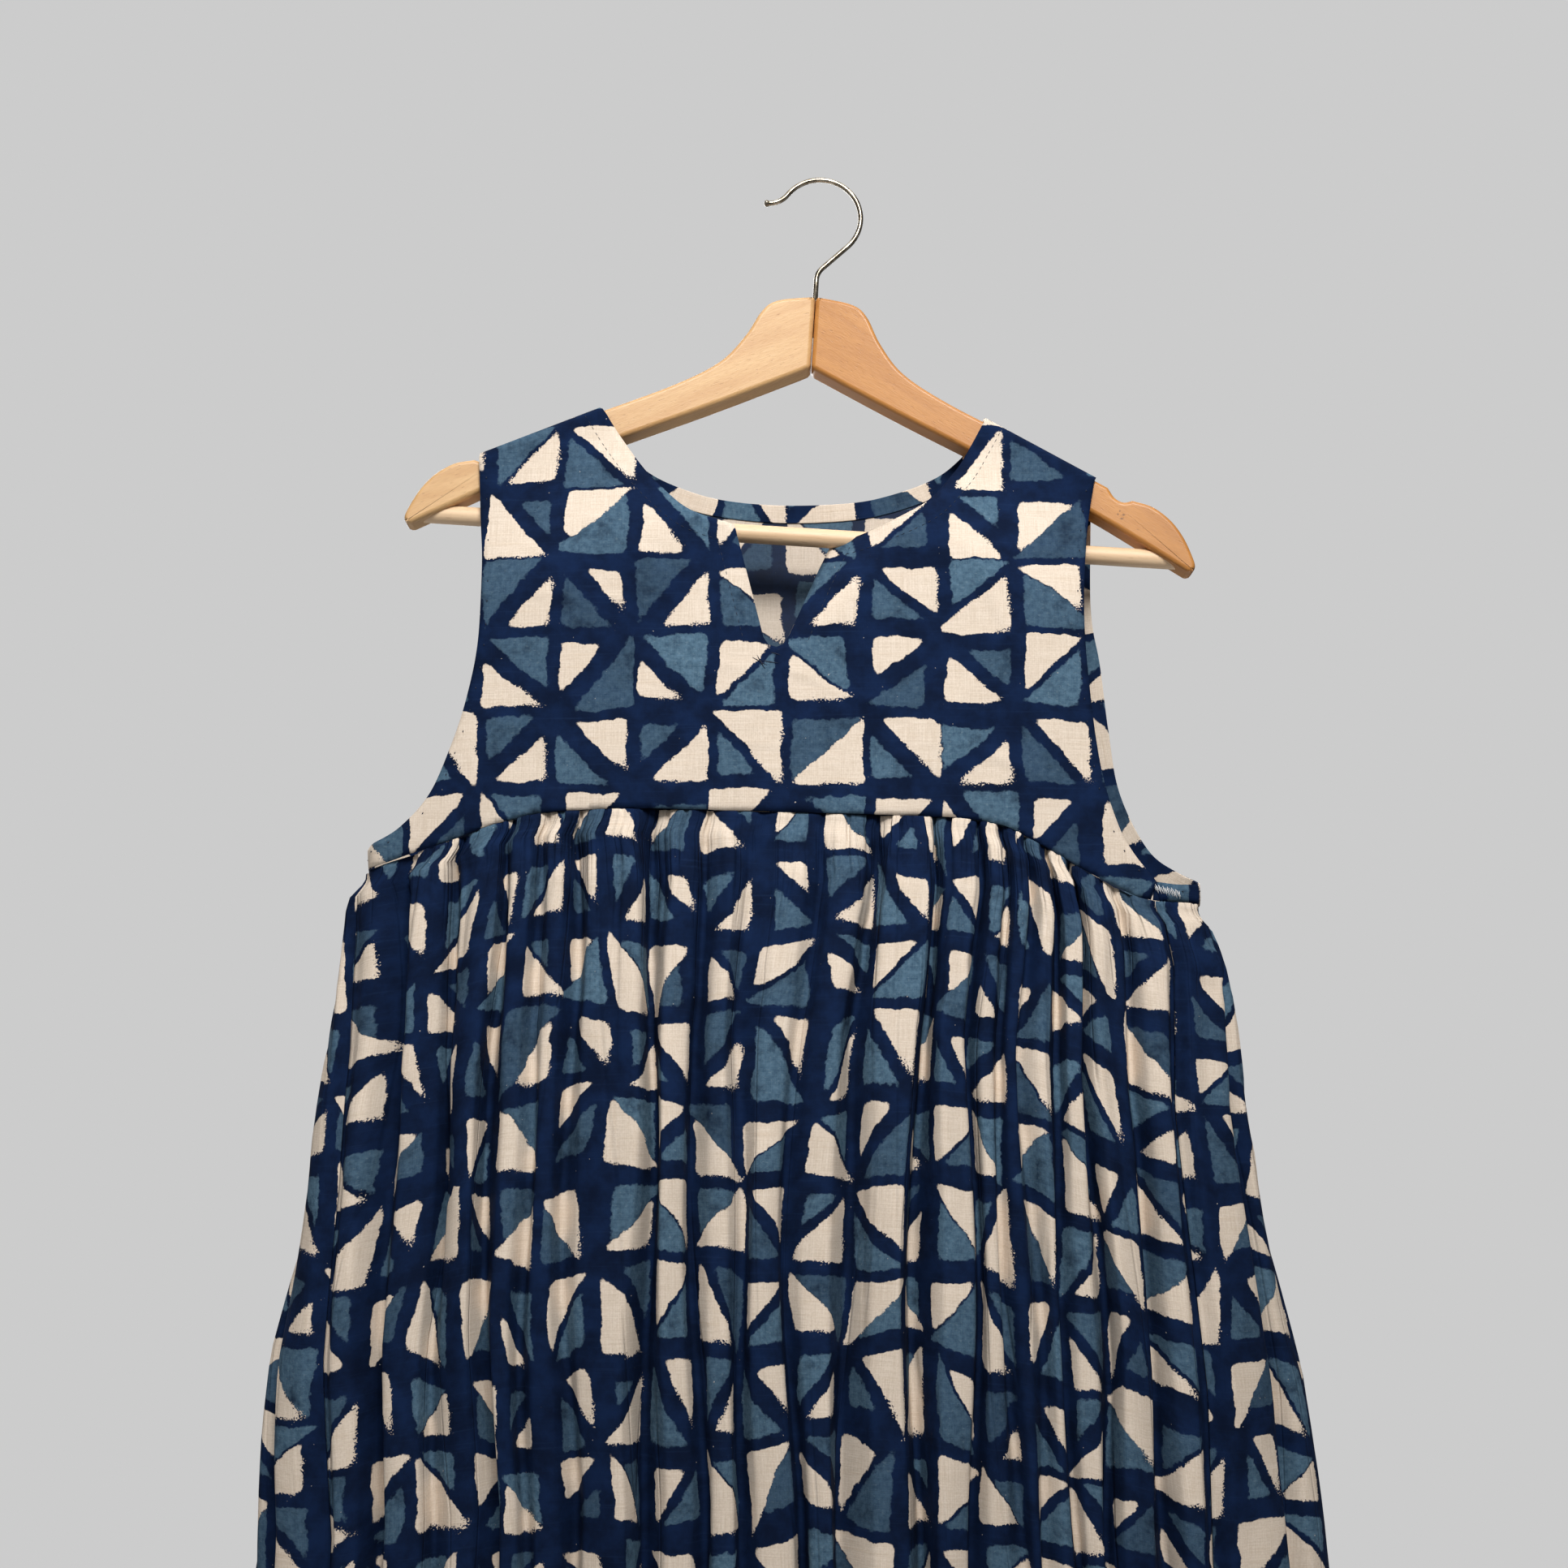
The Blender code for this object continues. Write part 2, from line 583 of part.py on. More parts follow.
def skirt_grid(panel):
    """Rows of points down one skirt panel, from the yoke seam to the hem."""
    marks = gather_marks(panel)
    steps = np.linspace(0, len(marks) - 1, 4 * (len(marks) - 1) + 1)
    tops = np.interp(steps, np.arange(len(marks)), marks)
    folds = FOLDS[panel]
    rows = []
    for station in SKIRT_ROWS:
        left = side_seam(SEAM_LEFT, SIDE_LEFT, station)
        right = side_seam(SEAM_RIGHT, SIDE_RIGHT, station)
        if panel == "back":
            left, right = right, left + 1
        gap = SEAM_GAP / 2 / ring_length(station)
        left, right = left + gap, right - gap
        place = left + (right - left) * fold_share(tops, station, folds)
        width = (right - left) * ring_length(station)
        x, y = on_ring(place, station)
        ahead_x, ahead_y = on_ring(place + 1e-4, station)
        behind_x, behind_y = on_ring(place - 1e-4, station)
        run = np.stack([ahead_x - behind_x, ahead_y - behind_y])
        run /= np.linalg.norm(run, axis=0)
        inward = fold_depth(tops, station, panel, marks, width)
        x = x - run[1] * inward
        y = y + run[0] * inward
        seam_x, _ = on_ring(left + (right - left) * tops, 0.0)
        top = seam_height(seam_x) - SEAM_GAP / 2
        side = smoothstep(np.abs(seam_x) / SEAM_HALF)
        z = top + (HEM_HEIGHT - HEM_SIDE_DROP * side - top) * station
        rows.append(np.stack([CENTRE_X + x, CENTRE_Y + y, z], axis=1))
    return np.array(rows)


def hang_skirt(panel, surface, group):
    grid = skirt_grid(panel)
    down, along = grid.shape[:2]
    faces = []
    for row in range(down - 1):
        for column in range(along - 1):
            start = row * along + column
            faces.append((start, start + along, start + along + 1, start + 1))
    name = "skirt_" + panel
    mesh = bpy.data.meshes.new(name)
    mesh.from_pydata(grid.reshape(-1, 3).tolist(), [], faces)
    made = add_object(name, mesh, surface, group)
    thicken(made, WALL)


# Hanger

def hook_route():
    """Centre line of the hook: the crook, a small outward curl, and down the shank into the wood."""
    centre = Vector((0.0, 0.0, WIRE / 2 - CROOK_RADIUS))

    def on_crook(angle):
        return centre + Vector((math.cos(angle), 0.0, math.sin(angle))) * CROOK_RADIUS

    crook = [on_crook(CROOK_START + (CROOK_END - CROOK_START) * k / 30) for k in range(31)]
    run = Vector((-math.sin(CROOK_END), 0.0, math.cos(CROOK_END)))
    side = Vector((run.z, 0.0, -run.x))
    curl = []
    for k in range(1, 9):
        angle = CURL_TURN * k / 8
        curl.append(crook[-1] + (run * math.sin(angle) + side * (1 - math.cos(angle))) * CURL_RADIUS)
    slope = Vector((math.sin(CROOK_START), 0.0, -math.cos(CROOK_START)))
    shank_x = CROWN.x + 0.0005
    corner = crook[0] + slope * ((shank_x - crook[0].x) / slope.x)
    start = corner - slope * SHANK_BEND
    end = corner - Vector((0.0, 0.0, SHANK_BEND))
    bend = []
    for k in range(7):
        share = k / 6
        bend.append(start * (1 - share) ** 2 + corner * 2 * share * (1 - share) + end * share ** 2)
    foot = Vector(shank_foot())
    return [foot, *reversed(bend), *crook, *curl]


def shank_foot():
    x, z = on_hanger(0.0, -SHANK_DEPTH)
    return x, 0.0, z


def hanger_hook(surface, group):
    route = hook_route()
    data = bpy.data.curves.new("hanger_hook", "CURVE")
    data.dimensions = "3D"
    data.bevel_depth = WIRE / 2
    data.bevel_resolution = 2
    data.use_fill_caps = True
    spline = data.splines.new("POLY")
    spline.points.add(len(route) + 2)
    tip = route[-1]
    run = (route[-1] - route[-2]).normalized()
    ball = [tip + run * WIRE * share for share in (0.35, 0.7, 0.9)]
    radii = [1.0] * (len(route) - 1) + [1.1, TIP_BALL, TIP_BALL * 0.92, TIP_BALL * 0.4]
    for point, spot, radius in zip(spline.points, route + ball, radii):
        point.co = (*spot, 1.0)
        point.radius = radius
    data.materials.append(surface)
    made = bpy.data.objects.new("hanger_hook", data)
    group.objects.link(made)


def board_outline():
    top = curve_through(BOARD_CROWN, 24)
    notch = curve_through(BOARD_NOTCH, 7)
    end = curve_through(BOARD_END, 14)
    low = curve_through(((0.2185, -0.1600), (0.162, -0.1262), (0.108, -0.0990), (0.054, -0.0722),
                         (0.0, -CROWN_HEIGHT)), 12)
    outline = np.vstack([top, notch, end[1:], low[1:]])
    outline[:, 0] = np.maximum(outline[:, 0], SEAM_GAP / 2)
    return outline


def hanger_arm(name, side, stand, cutters, surface, group):
    """One board: its outline given thickness, swept forward, with holes for the dowel and the hook."""
    outline = board_outline()
    work = bmesh.new()
    corners = [work.verts.new((side * out, -BOARD / 2, up)) for out, up in outline]
    front = work.faces.new(corners)
    moved = bmesh.ops.extrude_face_region(work, geom=[front])["geom"]
    behind = [item for item in moved if isinstance(item, bmesh.types.BMVert)]
    bmesh.ops.translate(work, vec=(0, BOARD, 0), verts=behind)
    bmesh.ops.recalc_face_normals(work, faces=work.faces)
    for vert in work.verts:
        vert.co.y -= abs(vert.co.x) * math.tan(SWEEP)
    mesh = bpy.data.meshes.new(name)
    work.to_mesh(mesh)
    work.free()
    made = add_object(name, mesh, surface, group)
    mesh.set_sharp_from_angle(angle=math.radians(40))
    made.parent = stand
    bevel = made.modifiers.new("rounded", "BEVEL")
    bevel.width = BOARD_ROUND
    bevel.segments = 2
    bevel.limit_method = "ANGLE"
    bevel.angle_limit = math.radians(50)
    bevel.use_clamp_overlap = False
    for cutter in cutters:
        cut = made.modifiers.new("hole", "BOOLEAN")
        cut.operation = "DIFFERENCE"
        cut.object = cutter


def add_rod(name, radius, length, sides, spot, turn, group):
    work = bmesh.new()
    bmesh.ops.create_cone(work, cap_ends=True, segments=sides, radius1=radius, radius2=radius, depth=length,
                          matrix=Matrix.Translation(spot) @ turn)
    mesh = bpy.data.meshes.new(name)
    work.to_mesh(mesh)
    work.free()
    made = bpy.data.objects.new(name, mesh)
    group.objects.link(made)
    return made


def build_hanger(group, cutter_group):
    stand = bpy.data.objects.new("hanger", None)
    stand.location = CROWN
    stand.rotation_euler = (0.0, TILT, 0.0)
    group.objects.link(stand)
    across = Matrix.Rotation(math.pi / 2, 4, "Y")
    upright = Matrix.Identity(4)
    dowel_y = -0.208 * math.tan(SWEEP)
    dowel_spot = Vector((0.0, dowel_y, -DOWEL_DROP))
    hole = add_rod("dowel_hole", DOWEL / 2 + FIT, 2 * (DOWEL_HALF + FIT), 24, dowel_spot, across,
                   cutter_group)
    shank_spot = Vector((0.0, 0.0, -SHANK_DEPTH / 2))
    bore = add_rod("shank_hole", WIRE / 2 + 2 * FIT, SHANK_DEPTH + 2 * FIT, 16, shank_spot, upright,
                   cutter_group)
    for cutter in (hole, bore):
        cutter.parent = stand
        cutter.hide_render = True
        cutter.display_type = "WIRE"
    wood = material("wood")
    hanger_arm("hanger_arm_left", -1, stand, (hole, bore), wood, group)
    hanger_arm("hanger_arm_right", 1, stand, (hole, bore), wood, group)
    bar = add_rod("hanger_bar", DOWEL / 2, 2 * DOWEL_HALF, 20, dowel_spot, across, group)
    bar.data.materials.append(material("dowel"))
    bar.data.shade_smooth()
    bar.data.set_sharp_from_angle(angle=math.radians(40))
    bar.parent = stand
    hanger_hook(material("steel"), group)


def build_dress(group):
    print_cloth = material("print")
    facing_cloth = material("facing")
    edges = yoke_edges()
    bends = []
    for side in ("left", "right"):
        bends += lines_over_wood(edges["front_neck_" + side][0], edges["front_arm_" + side][0])
    hang_yoke("yoke_front", front_outline(edges), bends, -1, print_cloth, facing_cloth, group)
    hang_yoke("yoke_back", back_outline(edges), bends, 1, print_cloth, facing_cloth, group)
    hang_skirt("front", print_cloth, group)
    hang_skirt("back", print_cloth, group)


def main():
    clear_scene()
    group = bpy.data.collections.new("dress_on_hanger")
    cutter_group = bpy.data.collections.new("cutters")
    bpy.context.scene.collection.children.link(group)
    bpy.context.scene.collection.children.link(cutter_group)
    build_hanger(group, cutter_group)
    build_dress(group)


main()
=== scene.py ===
"""Looks of a sleeveless block-printed cotton dress that hangs on a wooden hanger.

Metres, +Z up, front towards -Y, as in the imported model. Each cloth piece is cut flat, and its UV map "cut"
holds the flat pattern in metres, so the print, the weave and the sewing all lie on the cloth as it was cut.
The yoke is carried onto the rings of the hanging dress. The skirt keeps its cut width in each row:
gathers and folds take up what the row's ring has no room for.
"""

import math
from collections import namedtuple

import bmesh
import bpy
import numpy as np
from mathutils import Matrix, Vector
from mathutils.geometry import delaunay_2d_cdt


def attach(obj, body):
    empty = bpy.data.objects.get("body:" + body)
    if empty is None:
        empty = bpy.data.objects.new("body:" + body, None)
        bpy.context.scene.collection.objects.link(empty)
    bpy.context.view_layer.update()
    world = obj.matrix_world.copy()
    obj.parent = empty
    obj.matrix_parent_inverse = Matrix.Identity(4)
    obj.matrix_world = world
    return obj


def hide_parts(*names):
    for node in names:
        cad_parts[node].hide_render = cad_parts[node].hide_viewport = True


# Hanger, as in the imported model
WIRE = 0.003
CROOK_RADIUS = 0.024
CROOK_START = math.radians(-48)
CROOK_END = math.radians(142)
CURL_RADIUS = 0.014
CURL_TURN = math.radians(52)
TIP_BALL = 1.35
WIRE_SIDES = 20
SHANK_BEND = 0.005
SHANK_DEPTH = 0.022
CROWN = Vector((-0.0027, 0.0, -0.0739))
TILT = math.radians(3.7)
HANGER_PLACE = Matrix.Translation(CROWN) @ Matrix.Rotation(TILT, 4, "Y")
SWEEP = math.radians(7.2)
BOARD = 0.018
BOARD_SLOPE = 28.0
BOARD_ROUND = 0.0026
DOWEL = 0.0105
DOWEL_HALF = 0.212
DOWEL_DROP = 0.1505
DOWEL_SIDES = 48
# How far out the boards meet the dowel, which sets its depth
DOWEL_AT = 0.208
CROWN_HEIGHT = 0.0439

# Painted shade of small pin holes in the front of the right board, as dark spots: across and above the foot
# of its notch, and half length
PINHOLE_SHADE_SPOTS = ((-0.0025, -0.0055, 0.0007), (-0.0036, -0.0073, 0.0007), (-0.0005, -0.0078, 0.0014),
               (-0.0016, -0.0100, 0.0014))

# Outline of a board from the crown out to its end and back (out, up)
BOARD_CROWN = ((0.0, 0.0), (0.0215, -0.0047), (0.0305, -0.0122), (0.0392, -0.0286), (0.053, -0.046),
               (0.078, -0.0625), (0.118, -0.083))
BOARD_NOTCH = ((0.1715, -0.1114), (0.1756, -0.1172), (0.1806, -0.1197), (0.1855, -0.1186))
BOARD_END = ((0.1855, -0.1186), (0.1965, -0.1219), (0.2065, -0.1292), (0.2138, -0.1385), (0.2190, -0.1490),
             (0.2212, -0.1562), (0.2185, -0.1600))
BOARD_LOW = ((0.2185, -0.1600), (0.162, -0.1262), (0.108, -0.0990), (0.054, -0.0722), (0.0, -CROWN_HEIGHT))

# Dress: where it hangs, and the cloth
CENTRE_X = -0.0205
CENTRE_Y = -0.020
CLOTH = 0.0005
CLOTH_LIFT = 0.0005
EASE_OVER_WOOD = 0.0023
OVER_ROUND = 0.004
OVER_BENDS = 6
SEAM_GAP = 0.0004
FACING_WIDTH = 0.0102

# The yoke seam, level over the gathers and dropping towards each underarm (across from the centre, height)
SEAM_LINE = ((-0.2290, -0.4145), (-0.1840, -0.4010), (-0.1600, -0.3922), (-0.1346, -0.3857),
             (-0.1194, -0.3845), (-0.0863, -0.3835), (0.0, -0.3855), (0.0817, -0.3879), (0.1000, -0.3892),
             (0.1140, -0.3917), (0.1228, -0.3945), (0.1449, -0.4068), (0.1635, -0.4178), (0.1775, -0.4248),
             (0.1953, -0.4318), (0.2290, -0.4325))
HEM_HEIGHT = -1.170
HEM_SIDE_DROP = 0.012
SHOULDER_LEVEL = -0.150

# Rings of the hanging dress. Station -1 is the shoulder, 0 the yoke seam and 1 the hem
Ring = namedtuple("Ring", "station half_width front back squareness shift")
RINGS = (
    Ring(-1.00, 0.2280, 0.025, 0.016, 3.0, 0.000),
    Ring(-0.55, 0.2280, 0.031, 0.024, 3.0, 0.000),
    Ring(0.000, 0.2278, 0.035, 0.031, 2.8, 0.000),
    Ring(0.006, 0.2278, 0.035, 0.031, 2.8, 0.000),
    Ring(0.017, 0.2335, 0.041, 0.036, 2.7, 0.000),
    Ring(0.048, 0.2365, 0.049, 0.043, 2.6, 0.003),
    Ring(0.130, 0.2425, 0.059, 0.051, 2.5, 0.005),
    Ring(0.220, 0.2545, 0.067, 0.057, 2.4, 0.005),
    Ring(0.340, 0.2745, 0.074, 0.062, 2.4, 0.004),
    Ring(0.460, 0.2830, 0.080, 0.066, 2.4, 0.004),
    Ring(1.000, 0.3210, 0.098, 0.082, 2.3, 0.004),
)
SEAM_HALF = RINGS[2].half_width
RING_STEPS = 960

# Side seams at the yoke seam, measured along the cloth from the centre front
SIDE_LEFT = -0.237
SIDE_RIGHT = 0.200

# Soft ridge along which the right of the front neck turns back (across, height)
FLAP_TOP = (0.107, -0.178)
FLAP_FOOT = (0.002, -0.292)
FLAP_SLOPE = 1.05
FLAP_ROUND = 0.004

# Yoke pattern edges (across from the centre, height), all from the shoulder down
FRONT_NECK_LEFT = ((-0.105, -0.146), (-0.092, -0.168), (-0.081, -0.185), (-0.070, -0.1985), (-0.053, -0.2145),
                   (-0.028, -0.2235))
FRONT_NECK_RIGHT = ((0.113, -0.156), (0.105, -0.171), (0.095, -0.1885), (0.076, -0.2110), (0.044, -0.2245),
                    (0.0270, -0.2265))
NOTCH_ROUND = ((-0.0118, -0.2885), (-0.0092, -0.2925), (-0.0048, -0.2940), (-0.0008, -0.2922),
               (0.0018, -0.2875))
NOTCH_FOOT = NOTCH_ROUND[2]
FRONT_ARMHOLE_LEFT = ((-0.172, -0.181), (-0.170, -0.216), (-0.168, -0.245), (-0.1685, -0.288),
                      (-0.174, -0.321), (-0.182, -0.348), (-0.194, -0.375), (-0.212, -0.393),
                      (SIDE_LEFT, -0.4035))
FRONT_ARMHOLE_RIGHT = ((0.175, -0.188), (0.168, -0.229), (0.1645, -0.272), (0.1665, -0.318), (0.172, -0.3635),
                       (0.180, -0.3915), (0.188, -0.4065), (SIDE_RIGHT, -0.4215))
BACK_NECK = ((-0.105, -0.146), (-0.095, -0.162), (-0.078, -0.1785), (-0.055, -0.1895), (-0.031, -0.1955),
             (0.0, -0.198), (0.038, -0.1965), (0.062, -0.191), (0.086, -0.1815), (0.100, -0.171),
             (0.113, -0.156))
BACK_ARMHOLE_LEFT = ((-0.172, -0.181), (-0.169, -0.238), (-0.171, -0.272), (-0.174, -0.309), (-0.180, -0.346),
                     (-0.196, -0.380), (-0.217, -0.397))
BACK_ARMHOLE_RIGHT = ((0.175, -0.188), (0.174, -0.257), (0.179, -0.292), (0.183, -0.329), (0.1885, -0.365),
                      (0.203, -0.397), (0.219, -0.411), (0.238, -0.4195), (0.262, -0.4225))
YOKE_STEP = 0.0028
YOKE_EDGE_STEP = 0.0030

# Sewing: distances of the stitch rows from the edges, and the short threads at the foot of the notch
ARMHOLE_STITCH = 0.0037
NECK_STITCH = 0.011
HEM_STITCH = 0.00125
# Length of a stitch and the gap to the next
TACKS = (0.0012, 0.0112)
TOPSTITCH = (0.0021, 0.0019)
THREAD_SIDES = 6
THREAD_STEPS = 5
# Thread radii: machine sewing, short bars and zigzag, and the tacks of the armholes
SEWING_THREAD = 0.00017
BAR_THREAD = 0.00022
TACK_THREAD = 0.00032
NOTCH_THREADS = (
    ((-0.0130, -0.0060), (-0.0050, -0.0105)), ((-0.0105, -0.0048), (-0.0062, -0.0125)),
    ((-0.0030, -0.0030), (0.0020, -0.0045)), ((-0.0085, -0.0078), (0.0010, -0.0092)),
)
OVERLOCK_THREADS = 26

# Side seams as a share of the way round, from the centre front, at shares of the skirt's length
SEAM_STATIONS = (0.0, 0.006, 0.15, 0.25, 0.45, 1.0)
SEAM_LEFT = (None, None, -0.231, -0.216, -0.189, -0.165)
SEAM_RIGHT = (None, None, 0.188, 0.182, 0.170, 0.160)

# Troughs between the large folds of each skirt panel: share across at the seam and where they settle, depth,
# and lean. Above 0 the cloth drops in steeply from the left and climbs out gently, below 0 the other way
Fold = namedtuple("Fold", "top low depth lean")
FRONT_FOLDS = (
    Fold(0.083, 0.044, 1.0, 0.6), Fold(0.145, 0.112, 0.4, 0.8), Fold(0.207, 0.181, 0.8, 0.8),
    Fold(0.250, 0.232, 0.3, -0.4), Fold(0.290, 0.280, 0.6, 0.7), Fold(0.384, 0.365, 1.5, 0.0),
    Fold(0.450, 0.415, 0.3, 0.6), Fold(0.513, 0.468, 0.6, 0.8), Fold(0.590, 0.530, 0.35, 0.5),
    Fold(0.658, 0.589, 1.0, 0.9), Fold(0.728, 0.667, 1.3, 0.8), Fold(0.782, 0.728, 0.5, 0.6),
    Fold(0.810, 0.772, 0.35, -0.5), Fold(0.838, 0.812, 0.5, 0.7), Fold(0.866, 0.852, 0.3, 0.4),
    Fold(0.894, 0.891, 1.3, -0.2), Fold(0.950, 0.949, 0.5, -0.7),
)
BACK_FOLDS = (
    Fold(0.070, 0.060, 0.8, 0.5), Fold(0.117, 0.112, 0.4, 0.7), Fold(0.165, 0.172, 1.0, -0.6),
    Fold(0.262, 0.250, 0.5, 0.8), Fold(0.307, 0.312, 0.4, 0.4), Fold(0.351, 0.368, 1.1, 0.7),
    Fold(0.412, 0.408, 0.4, -0.5), Fold(0.470, 0.452, 0.8, 0.6), Fold(0.515, 0.510, 0.4, 0.5),
    Fold(0.560, 0.571, 1.2, 0.1), Fold(0.610, 0.620, 0.4, -0.6), Fold(0.668, 0.665, 0.7, 0.8),
    Fold(0.742, 0.760, 1.0, -0.4), Fold(0.800, 0.812, 0.4, 0.6), Fold(0.861, 0.860, 0.8, 0.8),
    Fold(0.900, 0.904, 0.3, 0.4), Fold(0.940, 0.946, 0.6, -0.5),
)
FOLDS = {"front": FRONT_FOLDS, "back": BACK_FOLDS}
CUT_WIDTH = {"front": 0.785, "back": 1.020}
SKIRT_LENGTH = 0.785
GATHER_CLOTH = 0.0165
GATHER_REACH = 0.085
SWELL_CLOTH = 0.034
SWELL_REACH = 0.20
SETTLED_AT = 0.5
END_DEPTH = 0.35
FACET_EASE = 1.05
FOLD_WANDER = 0.006
WALL_LENGTH = 0.013
PLEAT_SLOPE = 1.35
STEEPEST = 1.60
UPRIGHT = 1.54
HEM_TURN = 0.016
HEM_INNER = 0.0002
SKIRT_PHASE = {"front": (0.013, 0.021), "back": (0.031, 0.009)}
SKIRT_COLUMNS = {"front": 560, "back": 600}
SKIRT_ROWS = 70

# Studio
STAGE_HEIGHT = -1.26
BACKGROUND = (0.604, 0.604, 0.604, 1.0)
SOFT_LIGHT = (0.12, 0.12, 0.12, 1.0)
FLOOR_HALF = 1.9
FLOOR_STEPS = 24
CAMERA_SPOT = (-0.0211, -1.285, -0.587)
CAMERA_PITCH = math.radians(100.0)
SENSOR = 36.0
LENS = 53.2

# Soft boxes: place, where it is aimed, width and height, watts, colour and spread
LIGHTS = {
    "key": ((0.12, -1.38, 0.80), (0.0, 0.0, -0.29), (0.6, 0.6), 4.6, (1.0, 0.99, 0.97), math.radians(62.0)),
    "fill": ((-1.5, -1.9, -0.1), (0.0, 0.0, -0.5), (1.6, 1.6), 3.8, (1.0, 0.99, 0.97), math.pi),
    "back": ((-0.6, 2.4, 0.6), (0.0, 0.0, -0.6), (1.8, 1.4), 55.0, (1.0, 1.0, 1.0), math.pi),
    "top": ((0.0, 0.0, 2.2), (0.0, 0.001, 0.0), (3.0, 3.0), 34.0, (1.0, 1.0, 1.0), math.pi),
}

# Print: one repeat of a common triangle block, charted as the turns of its four cells
CELL = (0.0418, 0.0432)
PRINT_ACROSS = -0.1665
PRINT_HEIGHT = -0.3725
YOKE_MARGIN = -0.0007
SKIRT_MARGIN = 0.0013

# Unevenness of the blocks and their edges: noise scale, detail and reach in metres
HAND_SHIFTS = ((520.0, 2.0, 0.0011), (150.0, 2.0, 0.0034), (26.0, 1.0, 0.0080))


def smoothstep(value):
    share = np.clip(value, 0.0, 1.0)
    return share * share * (3 - 2 * share)


def run_along(points):
    """Distance along a line at each of its points."""
    return np.concatenate([[0], np.cumsum(np.linalg.norm(np.diff(points, axis=0), axis=1))])


def curve_through(points, samples):
    """Points along a smooth curve through the given ones, evenly spaced by length."""
    spots = np.array(points, float)
    before = 2 * spots[0] - spots[1]
    after = 2 * spots[-1] - spots[-2]
    padded = np.vstack([before, spots, after])
    share = np.linspace(0, 1, 25)[:-1, None]
    parts = []
    for p0, p1, p2, p3 in zip(padded, padded[1:], padded[2:], padded[3:]):
        bend = 2 * p1 + (p2 - p0) * share + (2 * p0 - 5 * p1 + 4 * p2 - p3) * share ** 2
        parts.append(0.5 * (bend + (3 * p1 - p0 - 3 * p2 + p3) * share ** 3))
    fine = np.vstack(parts + [spots[-1:]])
    length = run_along(fine)
    wanted = np.linspace(0, length[-1], samples)
    return np.stack([np.interp(wanted, length, fine[:, k]) for k in range(fine.shape[1])], axis=1)


SEAM_CURVE = curve_through(SEAM_LINE, 121)


def edge_through(points):
    return curve_through(points, max(2, round(run_along(points)[-1] / YOKE_EDGE_STEP) + 1))


def waves(a, b, table):
    """A smooth uneven field over two coordinates: rows of size, turns of a, turns of b and phase."""
    total = np.zeros(np.broadcast(a, b).shape)
    for size, turns_a, turns_b, phase in table:
        total = total + size * np.sin(2 * math.pi * (turns_a * a + turns_b * b) + phase)
    return total


# The rings that the cloth hangs on

def ring_rows():
    """Each ring's station, length and outline, the outline read at even shares of the way round."""
    turn = np.linspace(0, 2 * math.pi, 2881)
    shares = np.linspace(0, 1, RING_STEPS + 1)
    stations, lengths, across, depth = [], [], [], []
    for ring in RINGS:
        power = 2 / ring.squareness
        side = np.sin(turn)
        fore = np.cos(turn)
        x = ring.half_width * np.sign(side) * np.abs(side) ** power
        y = -np.where(fore > 0, ring.front, ring.back) * np.sign(fore) * np.abs(fore) ** power
        length = np.concatenate([[0], np.cumsum(np.hypot(np.diff(x), np.diff(y)))])
        stations.append(ring.station)
        lengths.append(length[-1])
        across.append(np.interp(shares, length / length[-1], x) + ring.shift)
        depth.append(np.interp(shares, length / length[-1], y))
    return np.array(stations), np.array(lengths), np.array(across), np.array(depth)


STATIONS, LENGTHS, ACROSS, DEPTH = ring_rows()


def on_ring(share, station):
    """Across and depth from the dress's centre, at a share of the way round from the centre front."""
    share, station = np.broadcast_arrays(np.asarray(share, float), np.asarray(station, float))
    row = np.interp(station, STATIONS, np.arange(len(STATIONS)))
    low = np.clip(row.astype(int), 0, len(STATIONS) - 2)
    blend = row - low
    place = (share % 1.0) * RING_STEPS
    left = np.clip(place.astype(int), 0, RING_STEPS - 1)
    part = place - left

    def read(table):
        upper = table[low, left] * (1 - part) + table[low, left + 1] * part
        lower = table[low + 1, left] * (1 - part) + table[low + 1, left + 1] * part
        return upper * (1 - blend) + lower * blend

    return read(ACROSS), read(DEPTH)


def ring_length(station):
    return np.interp(station, STATIONS, LENGTHS)


def way_round(across, face, station):
    """Share of the way round for a place measured along the cloth from the centre front or back."""
    share = np.asarray(across) / ring_length(station)
    return share if face < 0 else 0.5 - share


def seam_height(across):
    """Height of the yoke seam at a distance across from the dress's centre."""
    return np.interp(across, SEAM_CURVE[:, 0], SEAM_CURVE[:, 1])


def seam_above(across, face):
    """Height of the yoke seam above a place measured along the cloth."""
    seam_x, _ = on_ring(way_round(across, face, 0.0), 0.0)
    return seam_height(seam_x)


# Where the hanger's boards are, for the cloth that lies over them

def on_hanger(out, up):
    """World x and z of a point of the hanger given in its own upright frame."""
    x = CROWN.x + out * math.cos(TILT) + up * math.sin(TILT)
    z = CROWN.z - out * math.sin(TILT) + up * math.cos(TILT)
    return x, z


def board_lines():
    inner, outer = BOARD_CROWN[-1], BOARD_NOTCH[0]
    slope = (outer[1] - inner[1]) / (outer[0] - inner[0])
    centre_up = inner[1] - slope * inner[0]
    ends = {}
    for side in (-1, 1):
        near = on_hanger(0.0, centre_up)
        far = on_hanger(side * outer[0], outer[1])
        ends[side] = (near[0], near[1], (far[1] - near[1]) / (far[0] - near[0]))
    return ends


BOARD_LINES = board_lines()


